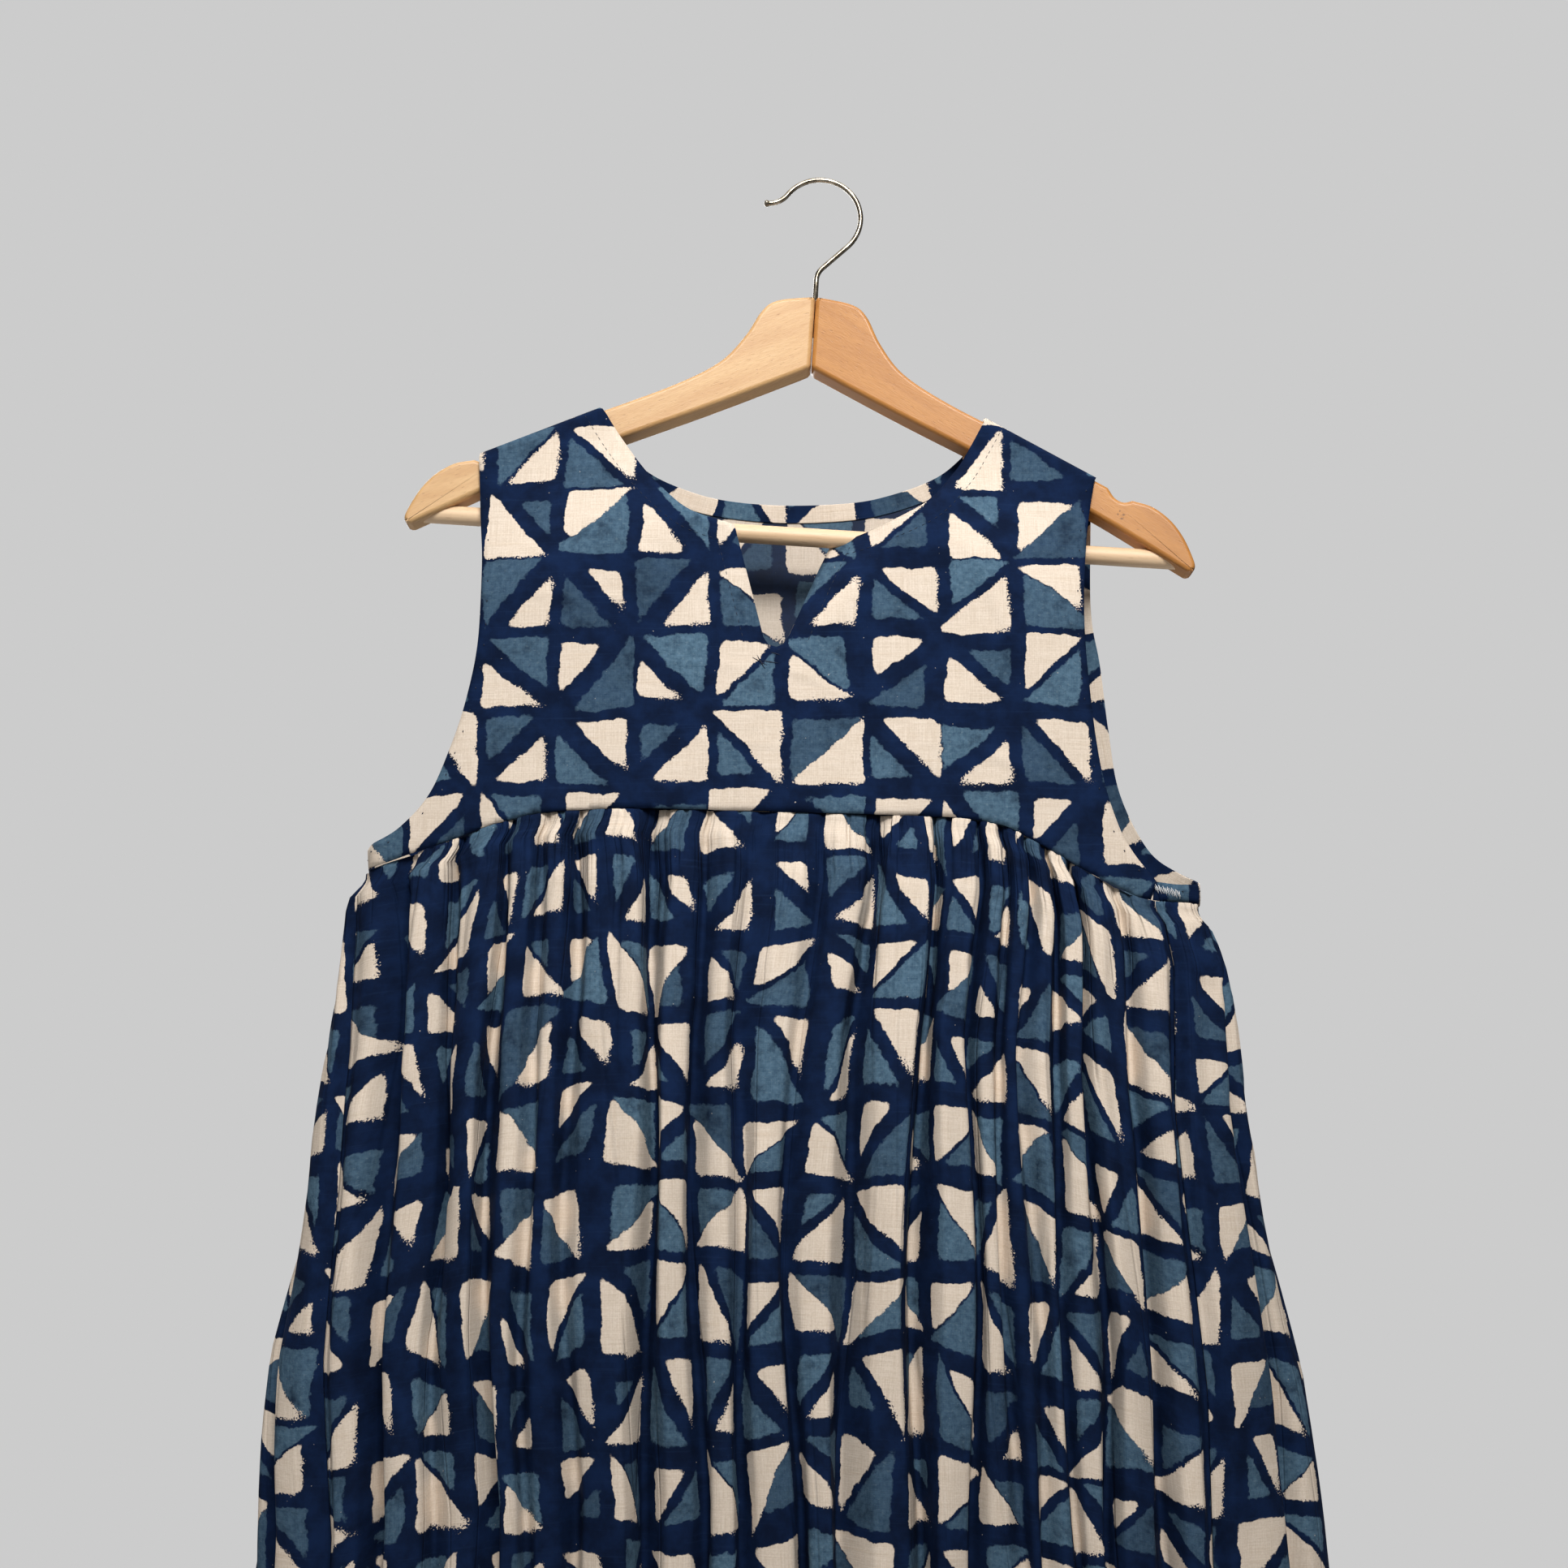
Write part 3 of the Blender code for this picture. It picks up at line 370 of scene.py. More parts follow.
def over_wood(x):
    """Height of the cloth on top of a board, and the depth of the board's middle, at world x."""
    right = x > BOARD_LINES[1][0]
    x0 = np.where(right, BOARD_LINES[1][0], BOARD_LINES[-1][0])
    z0 = np.where(right, BOARD_LINES[1][1], BOARD_LINES[-1][1])
    slope = np.where(right, BOARD_LINES[1][2], BOARD_LINES[-1][2])
    return z0 + slope * (x - x0) + EASE_OVER_WOOD, -np.abs(x - x0) * math.tan(SWEEP)


OVER_REACH = BOARD / 2 + EASE_OVER_WOOD
OVER_LENGTH = 0.5 * math.pi * math.sqrt((OVER_REACH ** 2 + OVER_ROUND ** 2) / 2)
OVER_EXTRA = OVER_LENGTH - OVER_ROUND


def hang_flat(pattern, face):
    """Carries yoke pattern points (across, height) onto the dress. face is -1 in front, 1 behind."""
    across, height = np.asarray(pattern, float).T
    drop = seam_above(across, face)
    station = -np.clip((height - drop) / (SHOULDER_LEVEL - drop), 0.0, 1.0)
    x, y = on_ring(way_round(across, face, station), station)
    top, middle = over_wood(CENTRE_X + x)
    below = top + OVER_EXTRA - height
    turn = np.clip(below / OVER_LENGTH, 0.0, 1.0) * math.pi / 2
    board_y = middle + face * OVER_REACH * np.sin(turn)
    z = np.where(below < OVER_LENGTH, top - OVER_ROUND * (1 - np.cos(turn)), height)
    free = smoothstep((below - OVER_LENGTH) / 0.10)
    y = board_y * (1 - free) + (CENTRE_Y + y) * free
    if face < 0:
        y = y + flap_turn(across, height)
    return np.stack([CENTRE_X + x, y, z], axis=1)


def flap_turn(across, height):
    """How far back the cloth turns beyond the soft ridge at the right of the neck."""
    top, foot = np.array(FLAP_TOP), np.array(FLAP_FOOT)
    run = (foot - top) / np.linalg.norm(foot - top)
    beyond = (across - top[0]) * run[1] - (height - top[1]) * run[0]
    near = smoothstep((across + 0.004) / 0.02) * smoothstep((-0.165 - height) / 0.03)
    return near * FLAP_SLOPE * FLAP_ROUND * np.log1p(np.exp(np.clip(beyond / FLAP_ROUND, -30, 30)))


def flat_normals(pattern, face):
    """Unit normals that point out of the dress, by small steps on the pattern."""
    pattern = np.asarray(pattern, float)
    step = 0.0015
    ahead = hang_flat(pattern + (step, 0), face) - hang_flat(pattern - (step, 0), face)
    rise = hang_flat(pattern + (0, step), face) - hang_flat(pattern - (0, step), face)
    normal = np.cross(ahead, rise) * -face
    return normal / np.linalg.norm(normal, axis=1)[:, None]


# Creases of the yoke: sizes in metres, and turns in each metre across and down
YOKE_WAVES = (
    (0.00070, 5.1, 1.9, 0.4), (0.00055, -7.3, 4.2, 2.1), (0.00035, 11.7, 6.8, 4.4),
    (0.00022, -17.0, 13.0, 0.9),
)
YOKE_DRAG = ((0.00045, 38.0, 3.0, 0.2), (0.00030, 61.0, -4.0, 1.7), (0.00018, 93.0, 6.0, 3.9))

# Pressed and worn creases of the front and back yokes (from, to, height, half width)
Crease = namedtuple("Crease", "start end size half_width")
YOKE_CREASES = {
    -1: (
        Crease((-0.150, -0.262), (-0.060, -0.268), 0.0006, 0.0016),
        Crease((-0.090, -0.300), (0.020, -0.309), 0.0005, 0.0014),
        Crease((0.010, -0.318), (0.120, -0.334), 0.0006, 0.0015),
        Crease((-0.020, -0.297), (0.070, -0.336), 0.0005, 0.0020),
        Crease((-0.110, -0.215), (-0.052, -0.262), 0.0009, 0.0030),
        Crease((0.090, -0.345), (0.158, -0.372), 0.0008, 0.0026),
        Crease((-0.170, -0.330), (-0.105, -0.352), 0.0008, 0.0028),
        Crease((0.100, -0.230), (0.128, -0.300), 0.0009, 0.0032),
        Crease((-0.060, -0.345), (0.010, -0.350), 0.0004, 0.0014),
    ),
    1: (
        Crease((-0.140, -0.240), (-0.030, -0.252), 0.0006, 0.0016),
        Crease((-0.020, -0.300), (0.110, -0.312), 0.0005, 0.0015),
        Crease((0.040, -0.225), (0.095, -0.290), 0.0009, 0.0030),
        Crease((-0.150, -0.345), (-0.060, -0.330), 0.0007, 0.0024),
        Crease((0.120, -0.350), (0.190, -0.372), 0.0008, 0.0026),
    ),
}


def crease_relief(pattern, creases):
    total = np.zeros(len(pattern))
    for crease in creases:
        start, end = np.array(crease.start), np.array(crease.end)
        run = end - start
        share = np.clip(((pattern - start) @ run) / (run @ run), 0.0, 1.0)
        away = np.linalg.norm(pattern - start - share[:, None] * run, axis=1)
        total += crease.size * np.sin(math.pi * share) ** 0.5 * np.exp(-(away / crease.half_width) ** 2)
    return total


def yoke_relief(pattern, face):
    """How far a point of the yoke stands out, from its creases and from the pull of the gathers."""
    pattern = np.asarray(pattern, float)
    across, height = pattern.T
    seam = height - seam_above(across, face)
    free = smoothstep((over_wood(CENTRE_X + across)[0] - 0.012 - height) / 0.03)
    relief = waves(across, height, YOKE_WAVES) * free
    relief += waves(across, height, YOKE_DRAG) * np.exp(-np.maximum(seam, 0) / 0.022)
    relief += crease_relief(pattern, YOKE_CREASES[face]) * free
    relief -= 0.0006 * np.exp(-np.maximum(seam, 0) / 0.0014)
    return relief


def yoke_points(pattern, face, lift):
    out = lift + yoke_relief(pattern, face)
    return hang_flat(pattern, face) + flat_normals(pattern, face) * out[:, None]


# Cutting and hanging the yoke

def cut_flat(outline, lines, step):
    """Triangles that fill a flat outline and follow the lines, with points inside on a regular grid."""
    outline = np.asarray(outline, float)
    low, high = outline.min(axis=0), outline.max(axis=0)
    columns = np.arange(low[0] + step / 2, high[0], step)
    rows = np.arange(low[1] + step / 2, high[1], step * 0.866)
    spots = np.array([(a + (k % 2) * step / 2, b) for k, b in enumerate(rows) for a in columns])
    keep = inside(spots, outline) & (edge_distance(spots, outline, True) > step * 0.6)
    for line in lines:
        keep &= edge_distance(spots, line, False) > step * 0.5
    points = [*outline, *spots[keep]]
    edges = [(k, (k + 1) % len(outline)) for k in range(len(outline))]
    for line in lines:
        edges += [(len(points) + k, len(points) + k + 1) for k in range(len(line) - 1)]
        points += [*line]
    corners = [Vector(p) for p in points]
    done, _, faces, _, _, _ = delaunay_2d_cdt(corners, edges, [], 1, 1e-6)
    return np.array([tuple(p) for p in done]), [tuple(face) for face in faces]


def inside(spots, outline):
    ahead = np.roll(outline, -1, axis=0)
    x, y = spots[:, :1], spots[:, 1:]
    crosses = (outline[:, 1] > y) != (ahead[:, 1] > y)
    rise = np.where(ahead[:, 1] == outline[:, 1], 1e-12, ahead[:, 1] - outline[:, 1])
    meets = (ahead[:, 0] - outline[:, 0]) * (y - outline[:, 1]) / rise + outline[:, 0]
    return (crosses & (x < meets)).sum(axis=1) % 2 == 1


def edge_distance(spots, line, closed):
    line = np.asarray(line, float)
    run = np.roll(line, -1, axis=0) - line
    if not closed:
        run[-1] = 0
    nearest = np.full(len(spots), np.inf)
    for start, step in zip(line, run):
        offset = spots - start
        share = np.clip(offset @ step / max(step @ step, 1e-12), 0, 1)
        nearest = np.minimum(nearest, np.hypot(*(offset - share[:, None] * step).T))
    return nearest


def raised(edge):
    """An edge with its shoulder end carried on over the top of the board."""
    edge = np.array(edge, float)
    top = edge[0] + (0.0, OVER_EXTRA)
    top[1] = over_wood(CENTRE_X + top[0])[0] + OVER_EXTRA - SEAM_GAP / 4
    return np.vstack([top, edge])


def back_armhole(side):
    """A back armhole edge, carried on to the side seam."""
    edge = BACK_ARMHOLE_LEFT if side < 0 else BACK_ARMHOLE_RIGHT
    front = FRONT_ARMHOLE_LEFT if side < 0 else FRONT_ARMHOLE_RIGHT
    seam = side * (ring_length(0.0) / 2 - abs(front[-1][0]) - SEAM_GAP)
    return (*edge, (seam, front[-1][1]))


def shoulder_between(start, end):
    steps = round(abs(end[0] - start[0]) / YOKE_EDGE_STEP)
    share = np.linspace(0, 1, steps + 1)[1:-1, None]
    line = start + (end - start) * share
    line[:, 1] = over_wood(CENTRE_X + line[:, 0])[0] + OVER_EXTRA - SEAM_GAP / 4
    return line


def seam_between(left, right, face):
    """The lower edge of a yoke piece, from its left side seam to its right one."""
    across = np.linspace(left, right, round((right - left) / YOKE_EDGE_STEP) + 1)
    return np.stack([across, seam_above(across, face) + SEAM_GAP / 4], axis=1)


def neck_line(face):
    """A neck edge from the left shoulder to the right one, with the notch in front."""
    if face > 0:
        return edge_through(BACK_NECK)
    notch_left = edge_through((FRONT_NECK_LEFT[-1], NOTCH_ROUND[0]))[1:]
    notch_right = edge_through((NOTCH_ROUND[-1], FRONT_NECK_RIGHT[-1]))[:-1]
    left, right = edge_through(FRONT_NECK_LEFT), edge_through(FRONT_NECK_RIGHT)
    return np.vstack([left, notch_left, NOTCH_ROUND[1:-1], notch_right, right[::-1]])


def armhole(face, side):
    if face > 0:
        return edge_through(back_armhole(side))
    return edge_through(FRONT_ARMHOLE_LEFT if side < 0 else FRONT_ARMHOLE_RIGHT)


def yoke_outline(face):
    neck = neck_line(face)
    neck_left, neck_right = raised(neck[:1])[0], raised(neck[-1:])[0]
    left, right = raised(armhole(face, -1)), raised(armhole(face, 1))
    seam = seam_between(left[-1][0], right[-1][0], face)
    return np.vstack([
        [neck_left], neck, [neck_right], shoulder_between(neck_right, right[0]), right, seam[::-1][1:-1],
        left[::-1], shoulder_between(left[0], neck_left),
    ])


def lines_over_wood(face):
    """Lines beside each shoulder seam, on which the cloth bends over the board."""
    neck = neck_line(face)
    ends = {-1: (neck[0], armhole(face, -1)[0]), 1: (neck[-1], armhole(face, 1)[0])}
    lines = []
    for start, end in ends.values():
        start, end = raised([start])[0], raised([end])[0]
        share = np.linspace(0.01, 0.99, 26)[:, None]
        seam = start + (end - start) * share
        seam[:, 1] = over_wood(CENTRE_X + seam[:, 0])[0] + OVER_EXTRA
        lines += [seam - (0.0, OVER_LENGTH * k / OVER_BENDS) for k in range(1, OVER_BENDS + 1)]
    return lines


def beside(edge, side, distance):
    """An edge moved onto the cloth, which lies on the side given by -1 or 1."""
    run = np.gradient(edge, axis=0)
    run /= np.linalg.norm(run, axis=1)[:, None]
    return edge + np.stack([-run[:, 1], run[:, 0]], axis=1) * side * distance


def grid_faces(rows, columns):
    """Quads between neighbouring points of a grid."""
    return [(r * columns + k, r * columns + k + 1, (r + 1) * columns + k + 1, (r + 1) * columns + k)
            for r in range(rows - 1) for k in range(columns - 1)]


def tube_faces(rows, sides, first=0):
    """Faces of a tube from rows of points around it, with both its ends closed."""
    faces = []
    for start in range(first, first + (rows - 1) * sides, sides):
        for k in range(sides):
            ahead = (k + 1) % sides
            faces.append((start + k, start + ahead, start + sides + ahead, start + sides + k))
    last = first + (rows - 1) * sides
    faces.append(tuple(range(first + sides - 1, first - 1, -1)))
    faces.append(tuple(range(last, last + sides)))
    return faces


def circle(centre, across, out, radius, sides):
    """Points around a centre, from one direction towards another."""
    turns = [2 * math.pi * side / sides for side in range(sides)]
    return [centre + (across * math.cos(turn) + out * math.sin(turn)) * radius for turn in turns]


def new_mesh(name, points, faces):
    mesh = bpy.data.meshes.new(name)
    mesh.from_pydata([tuple(point) for point in points], [], faces)
    return mesh


def add_object(name, mesh, *surfaces):
    for surface in surfaces:
        mesh.materials.append(surface)
    mesh.shade_smooth()
    made = bpy.data.objects.new(name, mesh)
    bpy.context.scene.collection.objects.link(made)
    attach(made, "root")
    return made


def sheet_mesh(name, points, flat, faces):
    """A sheet's mesh, with its flat pattern kept as the UV map that the print and the weave are laid on."""
    mesh = bpy.data.meshes.new(name)
    mesh.from_pydata(points.tolist(), [], faces)
    layer = mesh.uv_layers.new(name="cut")
    corner = np.empty(len(mesh.loops), np.int32)
    mesh.loops.foreach_get("vertex_index", corner)
    layer.uv.foreach_set("vector", flat[corner].astype(np.float32).ravel())
    return mesh


def thicken(made, wall):
    solidify = made.modifiers.new("cloth", "SOLIDIFY")
    solidify.thickness = wall
    solidify.offset = -1.0
    solidify.material_offset = 1
    solidify.material_offset_rim = 0


def facing_outward(points, faces, flat, face):
    """The faces in the order that makes them look out of the dress."""
    first = list(faces[0][:3])
    a, b, c = points[first]
    if np.cross(b - a, c - a) @ flat_normals(flat[first[:1]], face)[0] > 0:
        return faces
    return [tuple(reversed(corners)) for corners in faces]


def hang_yoke(face, surfaces):
    name = "yoke_front" if face < 0 else "yoke_back"
    flat, faces = cut_flat(yoke_outline(face), lines_over_wood(face), YOKE_STEP)
    points = yoke_points(flat, face, CLOTH_LIFT + CLOTH)
    faces = facing_outward(points, faces, flat, face)
    made = add_object("dress_" + name, sheet_mesh(name, points, flat, faces), *surfaces)
    thicken(made, CLOTH)
    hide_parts(name)
    return made


def hang_facing(node, face, edge, side, surfaces):
    """A narrow strip turned in along an edge, under the cloth."""
    rows = [beside(edge, side, FACING_WIDTH * share) for share in (0.0, 0.06, 0.2, 0.4, 0.6, 0.8, 0.95, 1.0)]
    flat = np.vstack(rows)
    flat[:, 1] = np.maximum(flat[:, 1], seam_above(flat[:, 0], face) + SEAM_GAP)
    faces = grid_faces(len(rows), len(edge))
    points = yoke_points(flat, face, CLOTH_LIFT - 0.0001)
    faces = facing_outward(points, faces, flat, face)
    length = run_along(edge)
    depth = np.linspace(0, FACING_WIDTH, len(rows))
    cut = np.stack([np.tile(length, len(rows)), np.repeat(depth, len(edge))], axis=1)
    made = add_object("dress_" + node, sheet_mesh(node, points, cut, faces), *surfaces)
    thicken(made, CLOTH)
    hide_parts(node)
    return made, length[-1]


# Skirt

SLOPES = np.linspace(0.0, 2.1, 106)
RIPPLE_ROOM = np.array([np.cos(slope * np.sin(np.linspace(0, 2 * math.pi, 401))).mean() for slope in SLOPES])


def ripple_slope(room):
    """Steepest slope, in radians, of small waves in cloth that has this much room for each metre of it."""
    return np.interp(-np.asarray(room), -RIPPLE_ROOM, SLOPES)


def trough_marks(panel):
    """The large folds' troughs and both ends: shares across, depths, leans and places on the cut."""
    troughs = (Fold(0.0, 0.0, END_DEPTH, 0.0), *FOLDS[panel], Fold(1.0, 1.0, END_DEPTH, 0.0))
    tops, lows, depths, leans = np.array(troughs).T
    left, right = panel_ends(panel, SETTLED_AT)
    shown = np.diff(lows) * (right - left) * ring_length(SETTLED_AT) * FACET_EASE
    hidden = (depths[1:] + depths[:-1]) / (depths[1:] + depths[:-1]).sum()
    cloth = shown + hidden * (CUT_WIDTH[panel] - shown.sum())
    return tops, lows, depths, leans, np.concatenate([[0.0], np.cumsum(cloth)])


def ripple_marks(cuts, pitch, turn):
    """Where small waves begin along the cut, each large fold holding a whole number of them."""
    marks = [0.0]
    for k, (start, end) in enumerate(zip(cuts, cuts[1:])):
        count = max(1, round((end - start) / pitch))
        steps = 1 + 0.38 * np.sin(1.7 * np.arange(count) + turn * k)
        marks += list(start + (end - start) * np.cumsum(steps) / steps.sum())
    return np.array(marks)


def wall(distance, length, span):
    """A fold's wall: 1 from just beside the trough as far as its length, which is kept inside its span."""
    reach = np.minimum(length, span * 0.42)
    return smoothstep(distance / 0.0028) * (1 - smoothstep((distance - reach) / 0.0035))


def fold_slopes(cut, troughs, depths, leans, room):
    """Slopes of the large folds along the cut, the cloth between two troughs taking up its own fullness."""
    fold = np.clip(np.searchsorted(troughs, cut, side="right") - 1, 0, len(troughs) - 2)
    start, end = troughs[fold], troughs[fold + 1]
    before, after = cut - start, end - cut
    climb = (1 - 0.55 * leans[fold]) * wall(before, WALL_LENGTH * (0.4 + depths[fold]), end - start)
    drop = (1 + 0.55 * leans[fold + 1]) * wall(after, WALL_LENGTH * (0.4 + depths[fold + 1]), end - start)
    raw = climb - drop + 0.22 * np.sin(2 * math.pi * before / (end - start))
    low, high = np.zeros(len(room)), np.full(len(room), 9.0)
    count = np.maximum(np.bincount(fold, minlength=len(room)), 1)
    for _ in range(18):
        scale = 0.5 * (low + high)
        kept = np.bincount(fold, np.cos(STEEPEST * np.tanh(scale[fold] * raw / STEEPEST)), len(room)) / count
        loose = kept > room
        low = np.where(loose, scale, low)
        high = np.where(loose, high, scale)
    return STEEPEST * np.tanh(low[fold] * raw / STEEPEST), fold


def wave_at(moved, marks):
    """Which small wave each place on the cut lies in, and how far through it."""
    count = np.interp(moved, marks, np.arange(len(marks)))
    which = np.clip(count.astype(int), 0, len(marks) - 2)
    return which, count - which


def ripples(moved, marks, strengths):
    which, place = wave_at(moved, marks)
    return strengths[which] * np.sin(2 * math.pi * place)


def pleats(moved, marks, strengths):
    """Slopes of the gathers: nearly flat cloth between steep walls, as long as each one's fullness needs."""
    which, place = wave_at(moved, marks)
    kept = np.interp(strengths, SLOPES, RIPPLE_ROOM)
    half = 0.5 * np.minimum((1 - kept) / (1 - math.cos(PLEAT_SLOPE)), 0.9)[which]
    away = np.minimum(place, 1 - place)
    wall_share = smoothstep((half - away) / 0.06 + 0.5) * smoothstep(away / 0.04)
    return PLEAT_SLOPE * np.sign(0.5 - place) * wall_share * np.minimum(strengths[which] / 0.3, 1.0)


def homes(marks, troughs):
    """Which large fold holds each small wave."""
    middle = 0.5 * (marks[1:] + marks[:-1])
    return np.clip(np.searchsorted(troughs, middle) - 1, 0, len(troughs) - 2)


# Uneven fields over the skirt: sizes in metres, and turns across and down
SKIRT_DRIFT = ((0.0035, 2.3, 1.10, 0.3), (0.0025, 5.1, -1.70, 1.9), (0.0012, 9.7, 3.10, 4.0))
SKIRT_BILLOW = ((0.0016, 3.1, 1.30, 0.8), (0.0012, -5.3, 2.40, 2.2), (0.0008, 8.9, 4.10, 5.0))


def side_seam(shares, start, station):
    """Share of the way round at which a side seam hangs; it starts where the yoke's side seam ends."""
    along = [start / ring_length(0.0) if share is None else share for share in shares]
    return np.interp(station, SEAM_STATIONS, along)


def panel_ends(panel, station):
    left = side_seam(SEAM_LEFT, SIDE_LEFT, station)
    right = side_seam(SEAM_RIGHT, SIDE_RIGHT, station)
    if panel == "back":
        left, right = right, left + 1
    gap = SEAM_GAP / 2 / ring_length(station)
    return left + gap, right - gap


def fold_means(home, strengths, folds):
    """Mean room kept by the small waves of each large fold."""
    total = np.bincount(home, np.interp(np.abs(strengths), SLOPES, RIPPLE_ROOM), folds)
    return total / np.maximum(np.bincount(home, minlength=folds), 1)


def ripple_strengths(troughs, station, room):
    """Marks and slopes of the gathers at the seam and of the wider ripples that they run out into."""
    gathers = ripple_marks(troughs, GATHER_CLOTH, 2.9)
    number = np.arange(len(gathers) - 1)
    reach = GATHER_REACH * (1 + 0.72 * np.sin(2.7 * number + 1.0))
    small = 1.30 * (1 + 0.22 * np.sin(4.1 * number)) * np.exp(-station / reach) + 0.015
    swells = ripple_marks(troughs, SWELL_CLOTH, 1.3)
    number = np.arange(len(swells) - 1)
    reach = SWELL_REACH * (1 + 0.6 * np.sin(3.3 * number + 0.4))
    wide = 0.52 * (1 + 0.35 * np.sin(5.3 * number + 2.0))
    wide = wide * smoothstep(station / 0.07) * np.exp(-station / reach)
    wide += 0.04 * np.sin(1.9 * number + 9.0 * station)
    tight = np.minimum(room, 1.0)
    home = homes(swells, troughs)
    limit = ripple_slope(np.clip(tight[home] * 1.04, 0.0, 0.999))
    wide = np.clip(wide, -limit, limit)
    kept = fold_means(home, wide, len(room))
    home = homes(gathers, troughs)
    small = np.minimum(small, ripple_slope(np.clip(tight[home] / kept[home] * 1.02, 0.0, 1.0)))
    return gathers, small, swells, wide, kept * fold_means(home, small, len(room))


def skirt_row(panel, cut, station):
    """Share of the panel's room and depth outside its ring, for threads at places along the cut."""
    tops, lows, depths, leans, troughs = trough_marks(panel)
    left, right = panel_ends(panel, station)
    width = (right - left) * ring_length(station)
    settled = 1 - (1 - np.clip(station / SETTLED_AT, 0, 1)) ** 2
    number = np.arange(len(tops))
    wander = FOLD_WANDER * np.sin(2.1 * number + 5.0 * station) * np.sin(0.9 * number + 11.0 * station)
    wander[0] = wander[-1] = 0.0
    places = (tops + (lows - tops) * settled) * width + wander * smoothstep(station / 0.2)
    depths = depths * (1 + 0.35 * np.sin(1.7 * number + 7.0 * station))
    edge = smoothstep(np.minimum(cut, CUT_WIDTH[panel] - cut) / 0.03)
    moved = cut + waves(cut, station, SKIRT_DRIFT) * edge
    room = np.diff(places) / np.diff(troughs)
    gathers, small, swells, wide, held = ripple_strengths(troughs, station, room)
    slope, fold = fold_slopes(moved, troughs, depths, leans, np.minimum(room / held, 1.0))
    slope = slope + pleats(moved, gathers, small) + ripples(moved, swells, wide)
    slope = slope / (1 + (np.abs(slope) / UPRIGHT) ** 4) ** 0.25
    ahead = np.diff(cut, prepend=cut[0])
    middle_slope = 0.5 * (slope + np.concatenate([slope[:1], slope[:-1]]))
    along = np.cumsum(np.cos(middle_slope) * ahead)
    out = np.cumsum(np.sin(middle_slope) * ahead)
    anchors = np.interp(troughs, moved, cut)
    high = np.zeros(len(room))
    np.maximum.at(high, fold, out - np.interp(cut, anchors, np.interp(anchors, cut, out)))
    before, after = np.concatenate([high[:1], high]), np.concatenate([high, high[-1:]])
    target = -0.55 * np.maximum(before, after) - 0.21 * (before + after)
    target[0] = target[-1] = 0.0
    along += np.interp(cut, anchors, places - np.interp(anchors, cut, along))
    out += np.interp(cut, anchors, target - np.interp(anchors, cut, out))
    rise = 0.42 + 0.58 * smoothstep(station / 0.030)
    return along / width, out * rise + waves(cut, station, SKIRT_BILLOW) * edge * smoothstep(station / 0.3)


def skirt_stations():
    """Rows of the skirt, closer together near the seam."""
    share = np.linspace(0, 1, SKIRT_ROWS)
    return 0.25 * share + 0.75 * share ** 2


def skirt_grid(panel, stations, cut, lift):
    """Rows of points down one skirt panel, from the yoke seam to the hem."""
    left, right = panel_ends(panel, 0.0)
    first, _ = skirt_row(panel, cut, 0.0)
    seam_x, _ = on_ring(left + (right - left) * first, 0.0)
    top = seam_height(seam_x) - SEAM_GAP / 4
    side = smoothstep(np.abs(seam_x) / SEAM_HALF)
    rows = []
    for station in stations:
        left, right = panel_ends(panel, station)
        share, out = skirt_row(panel, cut, station)
        place = left + (right - left) * share
        x, y = on_ring(place, station)
        ahead_x, ahead_y = on_ring(place + 2e-3, station)
        behind_x, behind_y = on_ring(place - 2e-3, station)
        run = np.stack([ahead_x - behind_x, ahead_y - behind_y])
        run /= np.linalg.norm(run, axis=0)
        x = CENTRE_X + x + run[1] * (out + lift)
        y = CENTRE_Y + y - run[0] * (out + lift)
        z = top + (HEM_HEIGHT - HEM_SIDE_DROP * side - top) * station
        rows.append(np.stack([x, y, z], axis=1))
    return np.array(rows)


def turned_hem():
    """Rows past the hem fold: place down the cut, the row's station, and its distance from the ring."""
    outer = CLOTH_LIFT + CLOTH
    reach = outer + HEM_INNER
    rows = []
    for turn in (45, 90, 135):
        angle = math.radians(turn)
        drop = reach / 2 * math.sin(angle)
        rows.append((reach / 2 * angle, 1 + drop / SKIRT_LENGTH, outer - reach / 2 * (1 - math.cos(angle))))
    for up in (0.0, 0.25, 0.5, 0.75, 0.95, 1.0):
        rows.append((reach / 2 * math.pi + up * HEM_TURN, 1 - up * HEM_TURN / SKIRT_LENGTH, -HEM_INNER))
    return rows


def hang_skirt(panel, surfaces):
    name = "skirt_" + panel
    stations = skirt_stations()
    hem = turned_hem()
    cut = np.linspace(0, CUT_WIDTH[panel], SKIRT_COLUMNS[panel])
    outside = skirt_grid(panel, stations, cut, CLOTH_LIFT + CLOTH)
    inner = [skirt_grid(panel, [station], cut, lift)[0] for _, station, lift in hem]
    grid = np.concatenate([outside, inner])
    faces = [face[:1] + face[:0:-1] for face in grid_faces(*grid.shape[:2])]
    depth = np.concatenate([stations * SKIRT_LENGTH, [SKIRT_LENGTH + past for past, _, _ in hem]])
    across, height = np.meshgrid(cut, PRINT_HEIGHT - depth)
    flat = np.stack([across.ravel() + SKIRT_PHASE[panel][0], height.ravel() - SKIRT_PHASE[panel][1]], axis=1)
    made = add_object("dress_" + name, sheet_mesh(name, grid.reshape(-1, 3), flat, faces), *surfaces)
    thicken(made, CLOTH)
    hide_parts(name)
    return made


# Stitches

